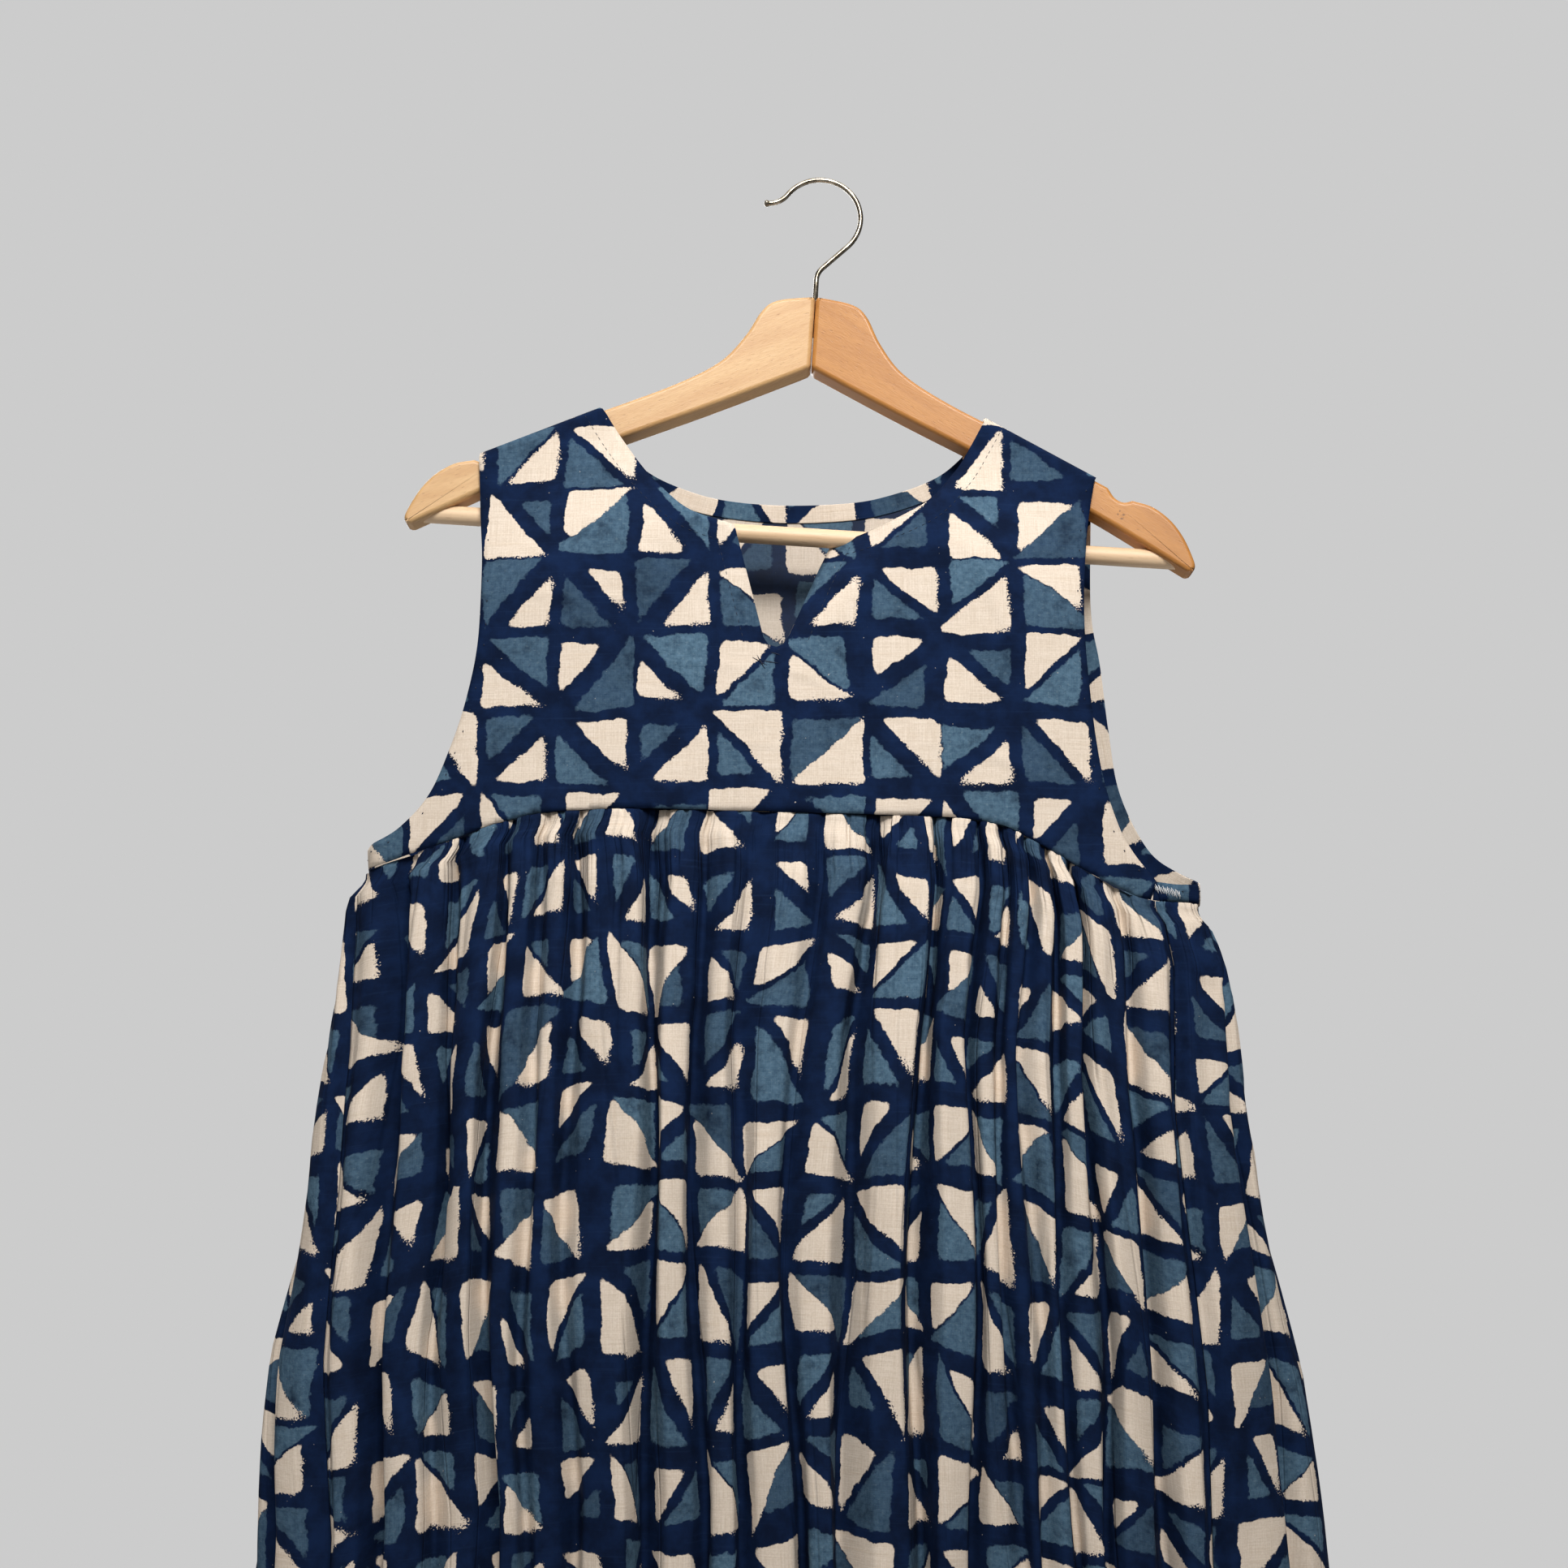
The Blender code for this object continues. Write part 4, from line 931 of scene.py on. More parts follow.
def lay_threads(name, ends, thread, surface):
    """Short stitches, each a thread that rises over the cloth from one end to the other."""
    points, faces = [], []
    for start, end, out in ends:
        start, end, out = (np.asarray(item, float) for item in (start, end, out))
        run = end - start
        across = np.cross(run, out)
        across /= np.linalg.norm(across)
        faces += tube_faces(THREAD_STEPS, THREAD_SIDES, len(points))
        for k in range(THREAD_STEPS):
            share = k / (THREAD_STEPS - 1)
            size = thread * (0.45 + 0.55 * math.sin(math.pi * share))
            centre = start + run * share + out * thread * 0.8 * math.sin(math.pi * share)
            points += circle(centre, across, out, size, THREAD_SIDES)
    made = add_object("dress_" + name, new_mesh(name, points, faces), surface)
    return made


def thread_on(pair, face, lift):
    """Two ends of a thread on the yoke pattern, and the way out of the cloth there."""
    start, end = yoke_points(pair, face, CLOTH_LIFT + CLOTH + lift)
    return start, end, flat_normals(pair[:1], face)[0]


def stitches_along(line, face, length, gap):
    """Ends of the stitches of one row along a line on the yoke pattern."""
    run = run_along(line)
    starts = np.arange(gap, run[-1] - length, length + gap)
    ends = []
    for number, start in enumerate(starts):
        wander = 0.00035 * math.sin(2.9 * number) + 0.0002 * math.sin(7.3 * number)
        pair = np.array([[np.interp(start + part, run, line[:, k]) for k in (0, 1)]
                         for part in (wander, length + wander)])
        ends.append(thread_on(pair, face, 0.00002))
    return ends


def sew_yoke(thread_surface):
    tacks, rows = [], []
    for face in (-1, 1):
        for side in (-1, 1):
            edge = armhole(face, side)
            tacks += stitches_along(beside(edge, -side, ARMHOLE_STITCH), face, *TACKS)
    left = edge_through(FRONT_NECK_LEFT)
    right = edge_through(FRONT_NECK_RIGHT)
    notch_left = edge_through((FRONT_NECK_LEFT[-1], NOTCH_ROUND[0]))
    notch_right = edge_through((FRONT_NECK_RIGHT[-1], NOTCH_ROUND[-1]))
    for edge, side in ((left, -1), (notch_left, -1), (right, 1), (notch_right, 1)):
        rows += stitches_along(beside(edge, side, NECK_STITCH), -1, *TOPSTITCH)
    rows += stitches_along(beside(edge_through(BACK_NECK), -1, NECK_STITCH), 1, *TOPSTITCH)
    lay_threads("armhole_stitches", tacks, TACK_THREAD, thread_surface)
    lay_threads("neck_stitches", rows, SEWING_THREAD, thread_surface)
    foot = np.array(NOTCH_FOOT)
    bars = [thread_on(foot + np.array(pair), -1, 0.0001) for pair in NOTCH_THREADS]
    lay_threads("notch_tack", bars, BAR_THREAD, thread_surface)


def sew_overlock(thread_surface):
    """The pale zigzag that shows at the right underarm, on the edge of the side seam's allowance."""
    start = np.array(BACK_ARMHOLE_RIGHT[-1]) + (0.0165, -0.0008)
    ends = []
    for k in range(OVERLOCK_THREADS):
        run = 0.0006 * k
        high = start + (0.0009 * math.sin(3.1 * k) - run, 0.0006 * math.sin(1.7 * k) - 0.19 * run)
        low = start + (-0.0012 - run, 0.0009 * math.sin(2.3 * k) - 0.0036 - 0.19 * run)
        ends.append(thread_on(np.array([low, high]), 1, 0.0002))
    lay_threads("overlock", ends, BAR_THREAD, thread_surface)


def sew_hem(thread_surface):
    """A row of small stitches that holds the turned hem."""
    ends = []
    for panel in ("front", "back"):
        station = 1 - 0.9 * HEM_TURN / SKIRT_LENGTH
        cut = np.linspace(0.002, CUT_WIDTH[panel] - 0.002, round(CUT_WIDTH[panel] / HEM_STITCH))
        row = skirt_grid(panel, [station], cut, CLOTH_LIFT + CLOTH)[0]
        low = skirt_grid(panel, [station + 0.002], cut, CLOTH_LIFT + CLOTH)[0]
        for k in range(0, len(cut) - 3, 3):
            run = row[k + 2] - row[k]
            out = np.cross(low[k] - row[k], run)
            ends.append((row[k], row[k + 2], out / np.linalg.norm(out)))
    lay_threads("hem_stitches", ends, SEWING_THREAD, thread_surface)


# Hanger

def hook_route():
    """Centre line of the hook: the crook, a small outward curl, and down the shank into the wood."""
    centre = Vector((0.0, 0.0, WIRE / 2 - CROOK_RADIUS))

    def on_crook(angle):
        return centre + Vector((math.cos(angle), 0.0, math.sin(angle))) * CROOK_RADIUS

    crook = [on_crook(CROOK_START + (CROOK_END - CROOK_START) * k / 60) for k in range(61)]
    run = Vector((-math.sin(CROOK_END), 0.0, math.cos(CROOK_END)))
    side = Vector((run.z, 0.0, -run.x))
    curl = []
    for k in range(1, 17):
        angle = CURL_TURN * k / 16
        curl.append(crook[-1] + (run * math.sin(angle) + side * (1 - math.cos(angle))) * CURL_RADIUS)
    slope = Vector((math.sin(CROOK_START), 0.0, -math.cos(CROOK_START)))
    shank_x = CROWN.x + 0.0005
    corner = crook[0] + slope * ((shank_x - crook[0].x) / slope.x)
    start = corner - slope * SHANK_BEND
    end = corner - Vector((0.0, 0.0, SHANK_BEND))
    bend = []
    for k in range(13):
        share = k / 12
        bend.append(start * (1 - share) ** 2 + corner * 2 * share * (1 - share) + end * share ** 2)
    foot_x, foot_z = on_hanger(0.0, -SHANK_DEPTH)
    return [Vector((foot_x, 0.0, foot_z)), *reversed(bend), *crook, *curl]


def bend_hook(surface):
    route = hook_route()
    tip = route[-1]
    run = (route[-1] - route[-2]).normalized()
    ball = [tip + run * WIRE * share for share in (0.2, 0.4, 0.6, 0.75, 0.88, 0.96)]
    radii = [1.0] * (len(route) - 1) + [1.06, 1.22, TIP_BALL, TIP_BALL, TIP_BALL * 0.86, TIP_BALL * 0.6,
                                        TIP_BALL * 0.25]
    points = []
    spots = route + ball
    for place, (spot, radius) in enumerate(zip(spots, radii)):
        ahead = spots[min(place + 1, len(spots) - 1)] - spots[max(place - 1, 0)]
        out = Vector((ahead.z, 0.0, -ahead.x)).normalized()
        points += circle(spot, out, Vector((0.0, 1.0, 0.0)), radius * WIRE / 2, WIRE_SIDES)
    made = add_object("hook", new_mesh("hook", points, tube_faces(len(spots), WIRE_SIDES)), surface)
    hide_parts("hanger_hook")


def board_outline():
    top, notch = curve_through(BOARD_CROWN, 60), curve_through(BOARD_NOTCH, 16)
    end, low = curve_through(BOARD_END, 34), curve_through(BOARD_LOW, 40)
    outline = np.vstack([top, notch, end[1:], low[1:]])
    outline[:, 0] = np.maximum(outline[:, 0], SEAM_GAP / 2)
    return outline


def shape_board(node, side, surface):
    """One board of the hanger: its outline given thickness and soft edges, swept forward and tilted."""
    work = bmesh.new()
    corners = [work.verts.new((side * out, -BOARD / 2, up)) for out, up in board_outline()]
    front = work.faces.new(corners)
    moved = bmesh.ops.extrude_face_region(work, geom=[front])["geom"]
    behind = [item for item in moved if isinstance(item, bmesh.types.BMVert)]
    bmesh.ops.translate(work, vec=(0, BOARD, 0), verts=behind)
    bmesh.ops.recalc_face_normals(work, faces=work.faces)
    for vert in work.verts:
        vert.co.y -= abs(vert.co.x) * math.tan(SWEEP)
    work.transform(HANGER_PLACE)
    mesh = bpy.data.meshes.new(node)
    work.to_mesh(mesh)
    work.free()
    made = add_object("wood_" + node, mesh, surface)
    bevel = made.modifiers.new("rounded", "BEVEL")
    bevel.width = BOARD_ROUND
    bevel.segments = 6
    bevel.limit_method = "ANGLE"
    bevel.angle_limit = math.radians(50)
    bevel.use_clamp_overlap = False
    bevel.harden_normals = True
    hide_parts(node)


def turn_dowel(surface):
    stations = np.linspace(-DOWEL_HALF, DOWEL_HALF, 160)
    depth = -DOWEL_AT * math.tan(SWEEP)
    points = []
    for out in stations:
        radius = DOWEL / 2 * (1 + 0.004 * math.sin(61 * out) + 0.003 * math.sin(137 * out + 1))
        middle = Vector((out, depth, -DOWEL_DROP))
        points += circle(middle, Vector((0.0, 0.0, 1.0)), Vector((0.0, 1.0, 0.0)), radius, DOWEL_SIDES)
    mesh = new_mesh("dowel", points, tube_faces(len(stations), DOWEL_SIDES))
    mesh.transform(HANGER_PLACE)
    made = add_object("wood_bar", mesh, surface)
    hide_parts("hanger_bar")


# Materials

class Value:
    """One output in a material's tree. Arithmetic on it adds Math nodes."""

    def __init__(self, tree, socket):
        self.tree = tree
        self.socket = socket

    def math(self, operation, *others):
        node = self.tree.nodes.new("ShaderNodeMath")
        node.operation = operation
        for place, value in enumerate((self, *others)):
            join(self.tree, value, node.inputs[place])
        return Value(self.tree, node.outputs[0])

    def __add__(self, other):
        return self.math("ADD", other)

    def __sub__(self, other):
        return self.math("SUBTRACT", other)

    def __mul__(self, other):
        return self.math("MULTIPLY", other)

    def __truediv__(self, other):
        return self.math("DIVIDE", other)

    def __rsub__(self, other):
        return self.math("MULTIPLY", -1.0).math("ADD", other)

    __radd__ = __add__

    def step(self, low, high):
        """0 below low to 1 above high, softly. It falls where high is under low."""
        node = self.tree.nodes.new("ShaderNodeMapRange")
        node.interpolation_type = "SMOOTHSTEP"
        join(self.tree, self, node.inputs["Value"])
        node.inputs["From Min"].default_value = min(low, high)
        node.inputs["From Max"].default_value = max(low, high)
        node.inputs["To Min"].default_value = 0.0 if low < high else 1.0
        node.inputs["To Max"].default_value = 1.0 if low < high else 0.0
        return Value(self.tree, node.outputs["Result"])

    def most(self, other, rounding=0.0):
        if rounding:
            return self.math("SMOOTH_MAX", other, rounding)
        return self.math("MAXIMUM", other)


def join(tree, value, socket):
    if isinstance(value, Value):
        tree.links.new(value.socket, socket)
    else:
        socket.default_value = value


def tint(red, green, blue):
    """A colour given as the eye sees it, 0 to 255, as the linear values that the materials use."""
    shares = [part / 255 for part in (red, green, blue)]
    return (*(s / 12.92 if s <= 0.04045 else ((s + 0.055) / 1.055) ** 2.4 for s in shares), 1.0)


def tints(*colours):
    return [tint(*colour) for colour in colours]


def new_surface(name, roughness, metallic=0.0):
    surface = bpy.data.materials.new(name)
    surface.use_nodes = True
    tree = surface.node_tree
    shader = tree.nodes["Principled BSDF"]
    shader.inputs["Roughness"].default_value = roughness
    shader.inputs["Metallic"].default_value = metallic
    return surface, tree, shader


def object_spot(tree):
    """A place in the object's own metres."""
    return Value(tree, tree.nodes.new("ShaderNodeTexCoord").outputs["Object"])


def parts_of(tree, kind, value):
    """The three parts of a place (SeparateXYZ) or of a colour (SeparateColor)."""
    node = tree.nodes.new("ShaderNode" + kind)
    join(tree, value, node.inputs[0])
    return [Value(tree, node.outputs[k]) for k in range(3)]


def cloth_place(tree):
    """Across and down the cut, in metres."""
    source = tree.nodes.new("ShaderNodeUVMap")
    source.uv_map = "cut"
    return parts_of(tree, "SeparateXYZ", Value(tree, source.outputs["UV"]))[:2]


def spot_of(tree, across, height, third=0.0):
    node = tree.nodes.new("ShaderNodeCombineXYZ")
    for place, value in enumerate((across, height, third)):
        join(tree, value, node.inputs[place])
    return Value(tree, node.outputs[0])


def noise(tree, spot, scale, detail=2.0, roughness=0.5):
    """Noise around a place: one value from 0 to 1, and two others like it."""
    node = tree.nodes.new("ShaderNodeTexNoise")
    join(tree, spot, node.inputs["Vector"])
    node.inputs["Scale"].default_value = scale
    node.inputs["Detail"].default_value = detail
    node.inputs["Roughness"].default_value = roughness
    return parts_of(tree, "SeparateColor", Value(tree, node.outputs["Color"]))


def layer(tree, place, third, scale, detail, roughness=0.5):
    """One field of noise, read at two coordinates and a third, which sets fields apart."""
    return noise(tree, spot_of(tree, *place, third), scale, detail, roughness)[0]


def chance(tree, column, row, seed):
    """Three numbers from 0 to 1 that differ from cell to cell."""
    node = tree.nodes.new("ShaderNodeTexWhiteNoise")
    node.noise_dimensions = "3D"
    join(tree, spot_of(tree, column, row, seed), node.inputs["Vector"])
    return parts_of(tree, "SeparateColor", Value(tree, node.outputs["Color"]))


def blend(tree, share, first, second):
    """The first colour, turning into the second as share goes from 0 to 1."""
    node = tree.nodes.new("ShaderNodeMix")
    node.data_type = "RGBA"
    join(tree, share, node.inputs["Factor"])
    join(tree, first, node.inputs[6])
    join(tree, second, node.inputs[7])
    return Value(tree, node.outputs[2])


def weave_relief(tree, across, height):
    """Uneven threads both ways, slubs and a soft crumple, as a height in metres and a tone from 0 to 1."""
    weft = layer(tree, (across * 60.0, height * 2300.0), 0.0, 1.0, 1.0)
    warp = layer(tree, (across * 2300.0, height * 60.0), 0.0, 1.0, 1.0)
    slub = layer(tree, (across * 22.0, height * 620.0), 3.0, 1.0, 3.0).step(0.56, 0.74)
    grain = layer(tree, (across, height), 0.0, 900.0, 3.0, 0.6)
    crumple = layer(tree, (across, height), 5.0, 46.0, 3.0, 0.55)
    relief = (weft + warp) * 0.00009 + slub * 0.00006 + grain * 0.00006 + crumple * 0.0014
    tone = (weft + warp + grain) / 3.0
    return relief, tone, slub


def add_bump(tree, shader, relief, strength):
    node = tree.nodes.new("ShaderNodeBump")
    node.inputs["Strength"].default_value = strength
    node.inputs["Distance"].default_value = 1.0
    join(tree, relief, node.inputs["Height"])
    tree.links.new(node.outputs["Normal"], shader.inputs["Normal"])


def triangle(sides, rounding):
    """Distance outside a triangle that lies where every side's value is under 0."""
    first, second, third = sides
    return first.most(second, rounding).most(third, rounding)


def gather_relief(tree, across, down):
    """Thin creases that run down from the gathers, crowded at the seam, and a few long ones, in metres."""
    near = layer(tree, (across * 105.0, down * 9.0), 21.0, 1.0, 1.0)
    reach = layer(tree, (across * 70.0, down * 0.5), 23.0, 1.0, 1.0)
    far = layer(tree, (across * 26.0, down * 1.6), 25.0, 1.0, 1.0)
    crowded = (down - (reach - 0.35) * 0.24).step(0.012, -0.012)
    near = (near - 0.5).math("ABSOLUTE").step(0.060, 0.0)
    far = (far - 0.5).math("ABSOLUTE").step(0.016, 0.0)
    return (near * crowded * 0.0011 + far * 0.0008) * -1.0


def hand_printed(tree, cut, gathered):
    """The place on the cut as the blocks met it: shifted a little by hand, and more on gathered cloth."""
    flat = spot_of(tree, *cut)
    moved = list(cut)
    for scale, detail, reach in HAND_SHIFTS:
        field = noise(tree, flat, scale, detail)
        moved = [moved[k] + (field[k] - 0.5) * reach for k in (0, 1)]
    if gathered:
        drift = noise(tree, flat, 9.0, 1.0)
        moved = [moved[k] + (drift[k] - 0.5) * (0.030, 0.045)[k] for k in (0, 1)]
    return moved


def print_shapes(tree, cut, gathered):
    """Distances outside the cream and the blue triangle of a cell, its cream's dry edge, and a chance."""
    margin = SKIRT_MARGIN if gathered else YOKE_MARGIN
    moved_x, moved_y = hand_printed(tree, cut, gathered)
    column = (moved_x - PRINT_ACROSS) / CELL[0]
    row = (moved_y - PRINT_HEIGHT) / CELL[1]
    column_number, row_number = column.math("FLOOR"), row.math("FLOOR")
    in_x, in_y = column.math("FRACT"), row.math("FRACT")
    odd_column = column_number.math("PINGPONG", 1.0)
    odd_row = row_number.math("PINGPONG", 1.0)
    x = (in_x + odd_row * (1.0 - in_x * 2.0)) * CELL[0]
    y = (in_y + odd_column * (1.0 - in_y * 2.0)) * CELL[1]
    first = chance(tree, column_number, row_number, 1.0)
    second = chance(tree, column_number, row_number, 2.0)
    third = chance(tree, column_number, row_number, 3.0)
    fourth = chance(tree, column_number, row_number, 4.0)
    slant = (x - y * (CELL[0] / CELL[1])) * 0.7071 + (first[0] - 0.42) * 0.0060 \
        + (x + y - CELL[0]) * (first[1] - 0.5) * 0.24
    band = second[0].step(0.05, 0.85) * 0.0052 - 0.0002
    cream = triangle((
        band - slant,
        (second[1] * 0.0078 - 0.0006 + margin) - y,
        x - (CELL[0] + 0.0006 - margin) + second[2] * 0.0078,
    ), 0.0070)
    blue = triangle((
        band + slant,
        (third[0] * 0.0092 + 0.0002 + margin) - x,
        y - CELL[1] + third[1] * 0.0098 + margin,
    ), 0.0050)
    low_right = (in_x + (1.0 - in_y)) * 0.5
    torn = layer(tree, cut, 7.0, 900.0, 3.0, 0.62)
    patchy = layer(tree, cut, 9.0, 75.0, 1.0).step(0.40, 0.62)
    ragged = (torn - 0.5) * (low_right.step(0.36, 0.78) * patchy * 0.0100 + 0.0010)
    return cream, blue, ragged, fourth[0]


def printed_cloth(name, wrong_side=False, gathered_at=None):
    """Indigo cotton with a block print of paired triangles, cream and mid blue, that alternate way round."""
    surface, tree, shader = new_surface(name, 0.88)
    shader.inputs["Specular IOR Level"].default_value = 0.08
    cut = cloth_place(tree)
    across, height = cut
    cream, blue, ragged, fullness = print_shapes(tree, cut, gathered_at is not None)
    cream_share = (cream + ragged + 0.0003).step(0.00030, -0.00030)
    soft = layer(tree, cut, 11.0, 320.0, 3.0, 0.6)
    blue_share = (blue + (soft - 0.5) * 0.0036).step(0.00055, -0.00055)
    specks = layer(tree, cut, 13.0, 480.0, 1.0).step(0.795, 0.815)
    relief, tone, slub = weave_relief(tree, across, height)
    mottle = layer(tree, cut, 15.0, 55.0, 4.0, 0.62)
    indigo = blend(tree, mottle.step(0.30, 0.72), tint(9, 22, 46), tint(17, 36, 70))
    indigo = blend(tree, slub * 0.22, indigo, tint(32, 52, 86))
    pale = blend(tree, soft.step(0.28, 0.75), tint(60, 86, 107), tint(88, 117, 138))
    pale = blend(tree, tone.step(0.42, 0.62) * 0.40, pale, tint(101, 128, 147))
    flecks = layer(tree, (across * 0.6, height), 17.0, 760.0, 2.0).step(0.60, 0.70)
    pale = blend(tree, flecks * 0.40, pale, tint(120, 142, 154))
    blue_cover = mottle.step(0.16, 0.50) * (0.40 + fullness * 0.60)
    natural = blend(tree, tone.step(0.36, 0.66), tint(212, 195, 176), tint(232, 218, 203))
    natural = blend(tree, slub * 0.20, natural, tint(204, 178, 148))
    colour = blend(tree, blue_share * blue_cover, indigo, pale)
    colour = blend(tree, cream_share, colour, natural)
    colour = blend(tree, specks * 0.75, colour, tint(196, 188, 180))
    if wrong_side:
        colour = blend(tree, 0.10, colour, tint(120, 128, 140))
    join(tree, colour, shader.inputs["Base Color"])
    if gathered_at is not None:
        relief = relief + gather_relief(tree, across, gathered_at - height)
    add_bump(tree, shader, relief, 0.55)
    return surface


def sewing_thread(name, dark, light):
    surface, tree, shader = new_surface(name, 0.75)
    ply = noise(tree, object_spot(tree), 2600.0, 2.0)[0]
    join(tree, blend(tree, ply, dark, light), shader.inputs["Base Color"])
    add_bump(tree, shader, ply * 0.00008, 0.6)
    return surface


def along_grain(tree, turn, middle):
    """A place in the wood, turned so that X runs along the grain."""
    node = tree.nodes.new("ShaderNodeMapping")
    node.vector_type = "TEXTURE"
    node.inputs["Location"].default_value = middle
    node.inputs["Rotation"].default_value = (0.0, turn, 0.0)
    join(tree, object_spot(tree), node.inputs["Vector"])
    return parts_of(tree, "SeparateXYZ", Value(tree, node.outputs["Vector"]))


def painted_pinhole_shade(tree):
    """How much painted pin-hole shade each place of the right board has, from 0 to 1, on its front alone."""
    x, y, z = parts_of(tree, "SeparateXYZ", object_spot(tree))
    foot_x, foot_z = on_hanger(*BOARD_NOTCH[2])
    total = None
    for across, up, half in PINHOLE_SHADE_SPOTS:
        away = ((x - (foot_x + across)) * (0.0008 / half)).math("ABSOLUTE")
        spot_shade = (away + (z - (foot_z + up)).math("ABSOLUTE")).step(0.0010, 0.0002)
        total = spot_shade if total is None else total.most(spot_shade)
    middle = float(over_wood(foot_x)[1])
    return total * y.step(middle, middle - 0.001)


def wood(name, turn, colours, roughness, seed, with_pinhole_shade=False):
    """Fine-grained beech: soft growth bands, short dark flecks and a worn satin finish."""
    surface, tree, shader = new_surface(name, roughness)
    shader.inputs["Specular IOR Level"].default_value = 0.42
    shader.inputs["Coat Weight"].default_value = 0.12
    shader.inputs["Coat Roughness"].default_value = 0.35
    x, y, z = along_grain(tree, turn, tuple(CROWN))
    drift = layer(tree, (x * 6.0, y * 30.0), z * 30.0 + seed, 1.0, 2.0)
    bands = layer(tree, (x * 3.2, y * 95.0), z * 105.0 + drift * 2.2 + seed, 1.0, 3.0, 0.55)
    fibre = layer(tree, (x * 60.0, y * 1900.0), z * 1900.0 + seed, 1.0, 2.0)
    flecks = layer(tree, (x * 170.0, y * 1300.0), z * 1300.0 - seed, 1.0, 1.0).step(0.66, 0.78)
    colour = blend(tree, bands.step(0.30, 0.72), colours[0], colours[1])
    colour = blend(tree, fibre.step(0.40, 0.75) * 0.30, colour, colours[2])
    colour = blend(tree, flecks * 0.38, colour, colours[3])
    # Pin holes in the right board: painted shade, dark brown spots where their hollows lie in shadow
    if with_pinhole_shade:
        colour = blend(tree, painted_pinhole_shade(tree) * 0.85, colour, tint(96, 58, 26))
    join(tree, colour, shader.inputs["Base Color"])
    rough = fibre * 0.10 + bands * 0.06 + (roughness - 0.08)
    join(tree, rough, shader.inputs["Roughness"])
    add_bump(tree, shader, fibre * 0.00010 + bands * 0.00012 - flecks * 0.00008, 0.6)
    return surface


def hook_steel():
    surface, tree, shader = new_surface("browned steel", 0.24, 1.0)
    worn = noise(tree, object_spot(tree), 210.0, 4.0, 0.6)[0]
    fine = noise(tree, object_spot(tree), 1500.0, 2.0)[0]
    join(tree, blend(tree, worn.step(0.32, 0.70), tint(128, 116, 98), tint(196, 186, 168)),
         shader.inputs["Base Color"])
    join(tree, worn * 0.22 + fine * 0.08 + 0.10, shader.inputs["Roughness"])
    add_bump(tree, shader, fine * 0.00005 + worn * 0.00008, 0.5)
    return surface


# Studio

def build_stage():
    """A plain pale floor below the dress, with a slight unevenness of its own."""
    spots = np.linspace(-FLOOR_HALF, FLOOR_HALF, FLOOR_STEPS)
    points = [(x, y, STAGE_HEIGHT + 0.0008 * math.sin(3 * x) * math.cos(2 * y)) for y in spots for x in spots]
    mesh = new_mesh("floor", points, grid_faces(FLOOR_STEPS, FLOOR_STEPS))
    surface, tree, shader = new_surface("pale floor", 0.9)
    cloud = noise(tree, object_spot(tree), 1.2, 3.0)[0]
    join(tree, blend(tree, cloud, tint(220, 220, 220), tint(228, 228, 228)), shader.inputs["Base Color"])
    mesh.materials.append(surface)
    floor = bpy.data.objects.new("floor", mesh)
    bpy.context.scene.collection.objects.link(floor)


def add_light(name, spot, aim, size, power, colour, spread):
    data = bpy.data.lights.new(name, "AREA")
    data.spread = spread
    data.shape = "RECTANGLE"
    data.size, data.size_y = size
    data.energy = power
    data.color = colour
    light = bpy.data.objects.new(name, data)
    light.location = spot
    light.rotation_euler = (Vector(aim) - Vector(spot)).to_track_quat("-Z", "Y").to_euler()
    bpy.context.scene.collection.objects.link(light)


def light_studio():
    bpy.context.scene.view_settings.view_transform = "Standard"
    world = bpy.data.worlds.new("studio")
    world.use_nodes = True
    nodes, links = world.node_tree.nodes, world.node_tree.links
    seen = nodes["Background"]
    seen.inputs["Color"].default_value = BACKGROUND
    soft = nodes.new("ShaderNodeBackground")
    soft.inputs["Color"].default_value = SOFT_LIGHT
    ray = nodes.new("ShaderNodeLightPath")
    pick = nodes.new("ShaderNodeMixShader")
    links.new(ray.outputs["Is Camera Ray"], pick.inputs[0])
    links.new(soft.outputs[0], pick.inputs[1])
    links.new(seen.outputs[0], pick.inputs[2])
    links.new(pick.outputs[0], nodes["World Output"].inputs["Surface"])
    bpy.context.scene.world = world
    for name, values in LIGHTS.items():
        add_light(name, *values)


def place_camera():
    data = bpy.data.cameras.new("photo view")
    data.sensor_width = SENSOR
    data.lens = LENS
    data.clip_start = 0.05
    camera = bpy.data.objects.new("photo view", data)
    camera.location = CAMERA_SPOT
    camera.rotation_euler = (CAMERA_PITCH, 0.0, 0.0)
    bpy.context.scene.collection.objects.link(camera)
    bpy.context.scene.camera = camera


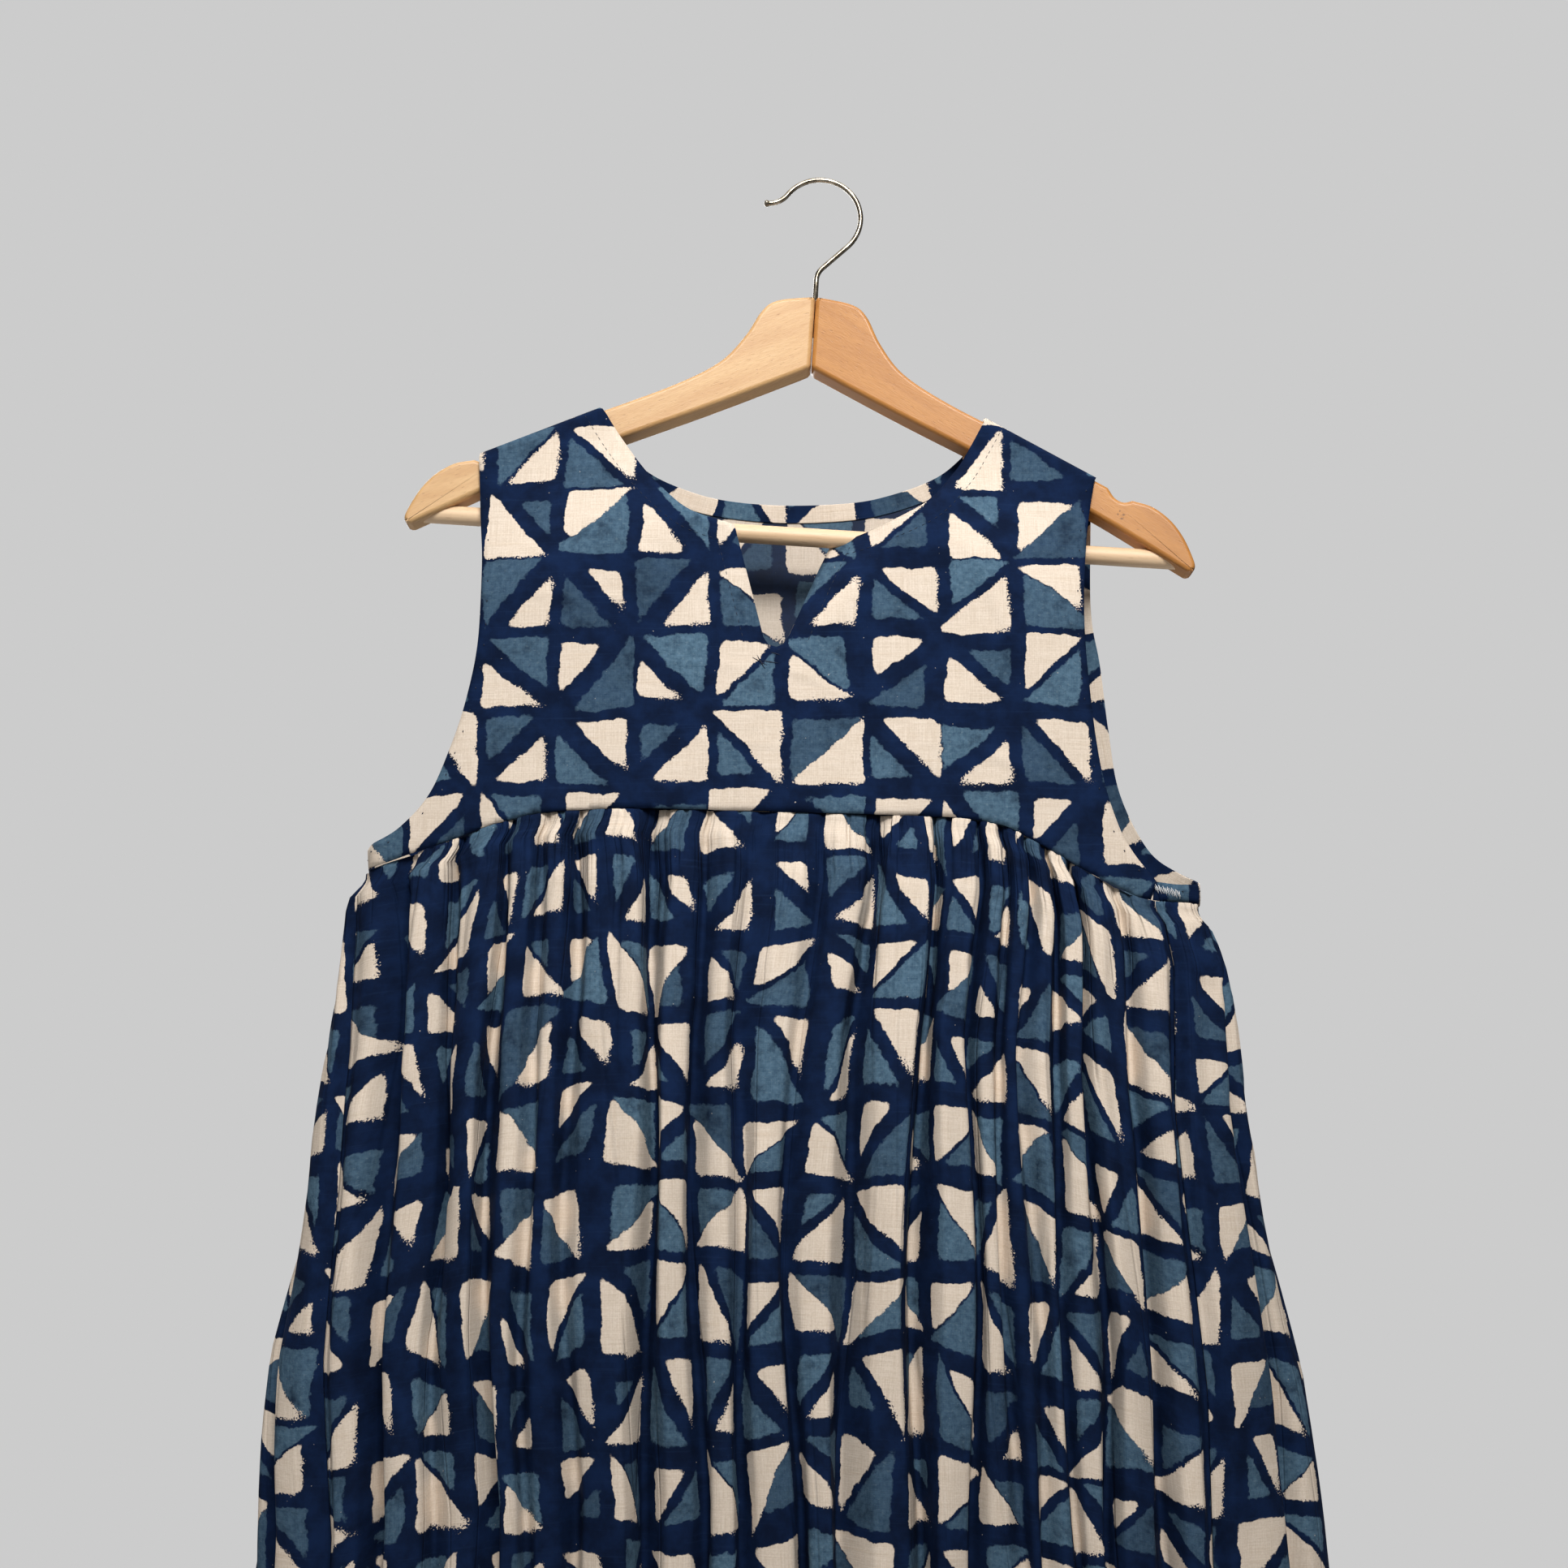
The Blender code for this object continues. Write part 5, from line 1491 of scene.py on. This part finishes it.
def dress():
    right_side = printed_cloth("block print cotton")
    wrong_side = printed_cloth("block print cotton, wrong side", True)
    skirts = {panel: printed_cloth("block print cotton, " + panel + " skirt", False,
                                   PRINT_HEIGHT - SKIRT_PHASE[panel][1]) for panel in SKIRT_PHASE}
    thread = sewing_thread("indigo thread", tint(12, 18, 34), tint(34, 44, 66))
    for face, panel in ((-1, "front"), (1, "back")):
        made = hang_yoke(face, (right_side, wrong_side))
        outline = yoke_outline(face)
        strips = [("facing_neck_" + panel, neck_line(face), -1)]
        for side, word in ((-1, "left"), (1, "right")):
            strips.append((f"facing_armhole_{panel}_{word}", armhole(face, side), -1 if side > 0 else 1))
        for node, edge, side in strips:
            strip, length = hang_facing(node, face, edge, side, (right_side, right_side))
        hang_skirt(panel, (skirts[panel], wrong_side))
    sew_yoke(thread)
    sew_overlock(sewing_thread("pale overlock thread", tint(206, 208, 212), tint(240, 240, 240)))
    sew_hem(thread)


def hanger():
    slope = math.radians(BOARD_SLOPE)
    left = tints((204, 158, 105), (220, 180, 128), (183, 132, 85), (140, 91, 54))
    # The right board's tints are darker and more orange than the left's: partly a wood tone of its own,
    # partly painted shade of a board lit less than the left
    right = tints((184, 123, 60), (201, 140, 73), (163, 103, 48), (125, 74, 33))
    shape_board("hanger_arm_left", -1, wood("beech, left board", -slope + TILT, left, 0.42, 0.0))
    # The right board's beech also carries the painted shade of its pin holes
    shape_board("hanger_arm_right", 1, wood("beech, right board", slope + TILT, right, 0.42, 7.0, True))
    bar = tints((226, 190, 150), (242, 212, 176), (208, 166, 126), (176, 130, 92))
    turn_dowel(wood("beech, bar", TILT, bar, 0.5, 13.0))
    bend_hook(hook_steel())


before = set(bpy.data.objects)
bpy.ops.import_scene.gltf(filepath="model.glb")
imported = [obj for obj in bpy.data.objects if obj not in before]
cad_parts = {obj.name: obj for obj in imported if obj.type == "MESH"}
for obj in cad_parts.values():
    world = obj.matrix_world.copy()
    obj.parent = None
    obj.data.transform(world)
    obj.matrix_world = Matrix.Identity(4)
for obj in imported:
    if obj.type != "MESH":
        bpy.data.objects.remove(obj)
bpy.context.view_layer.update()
hanger()
dress()
build_stage()
light_studio()
place_camera()
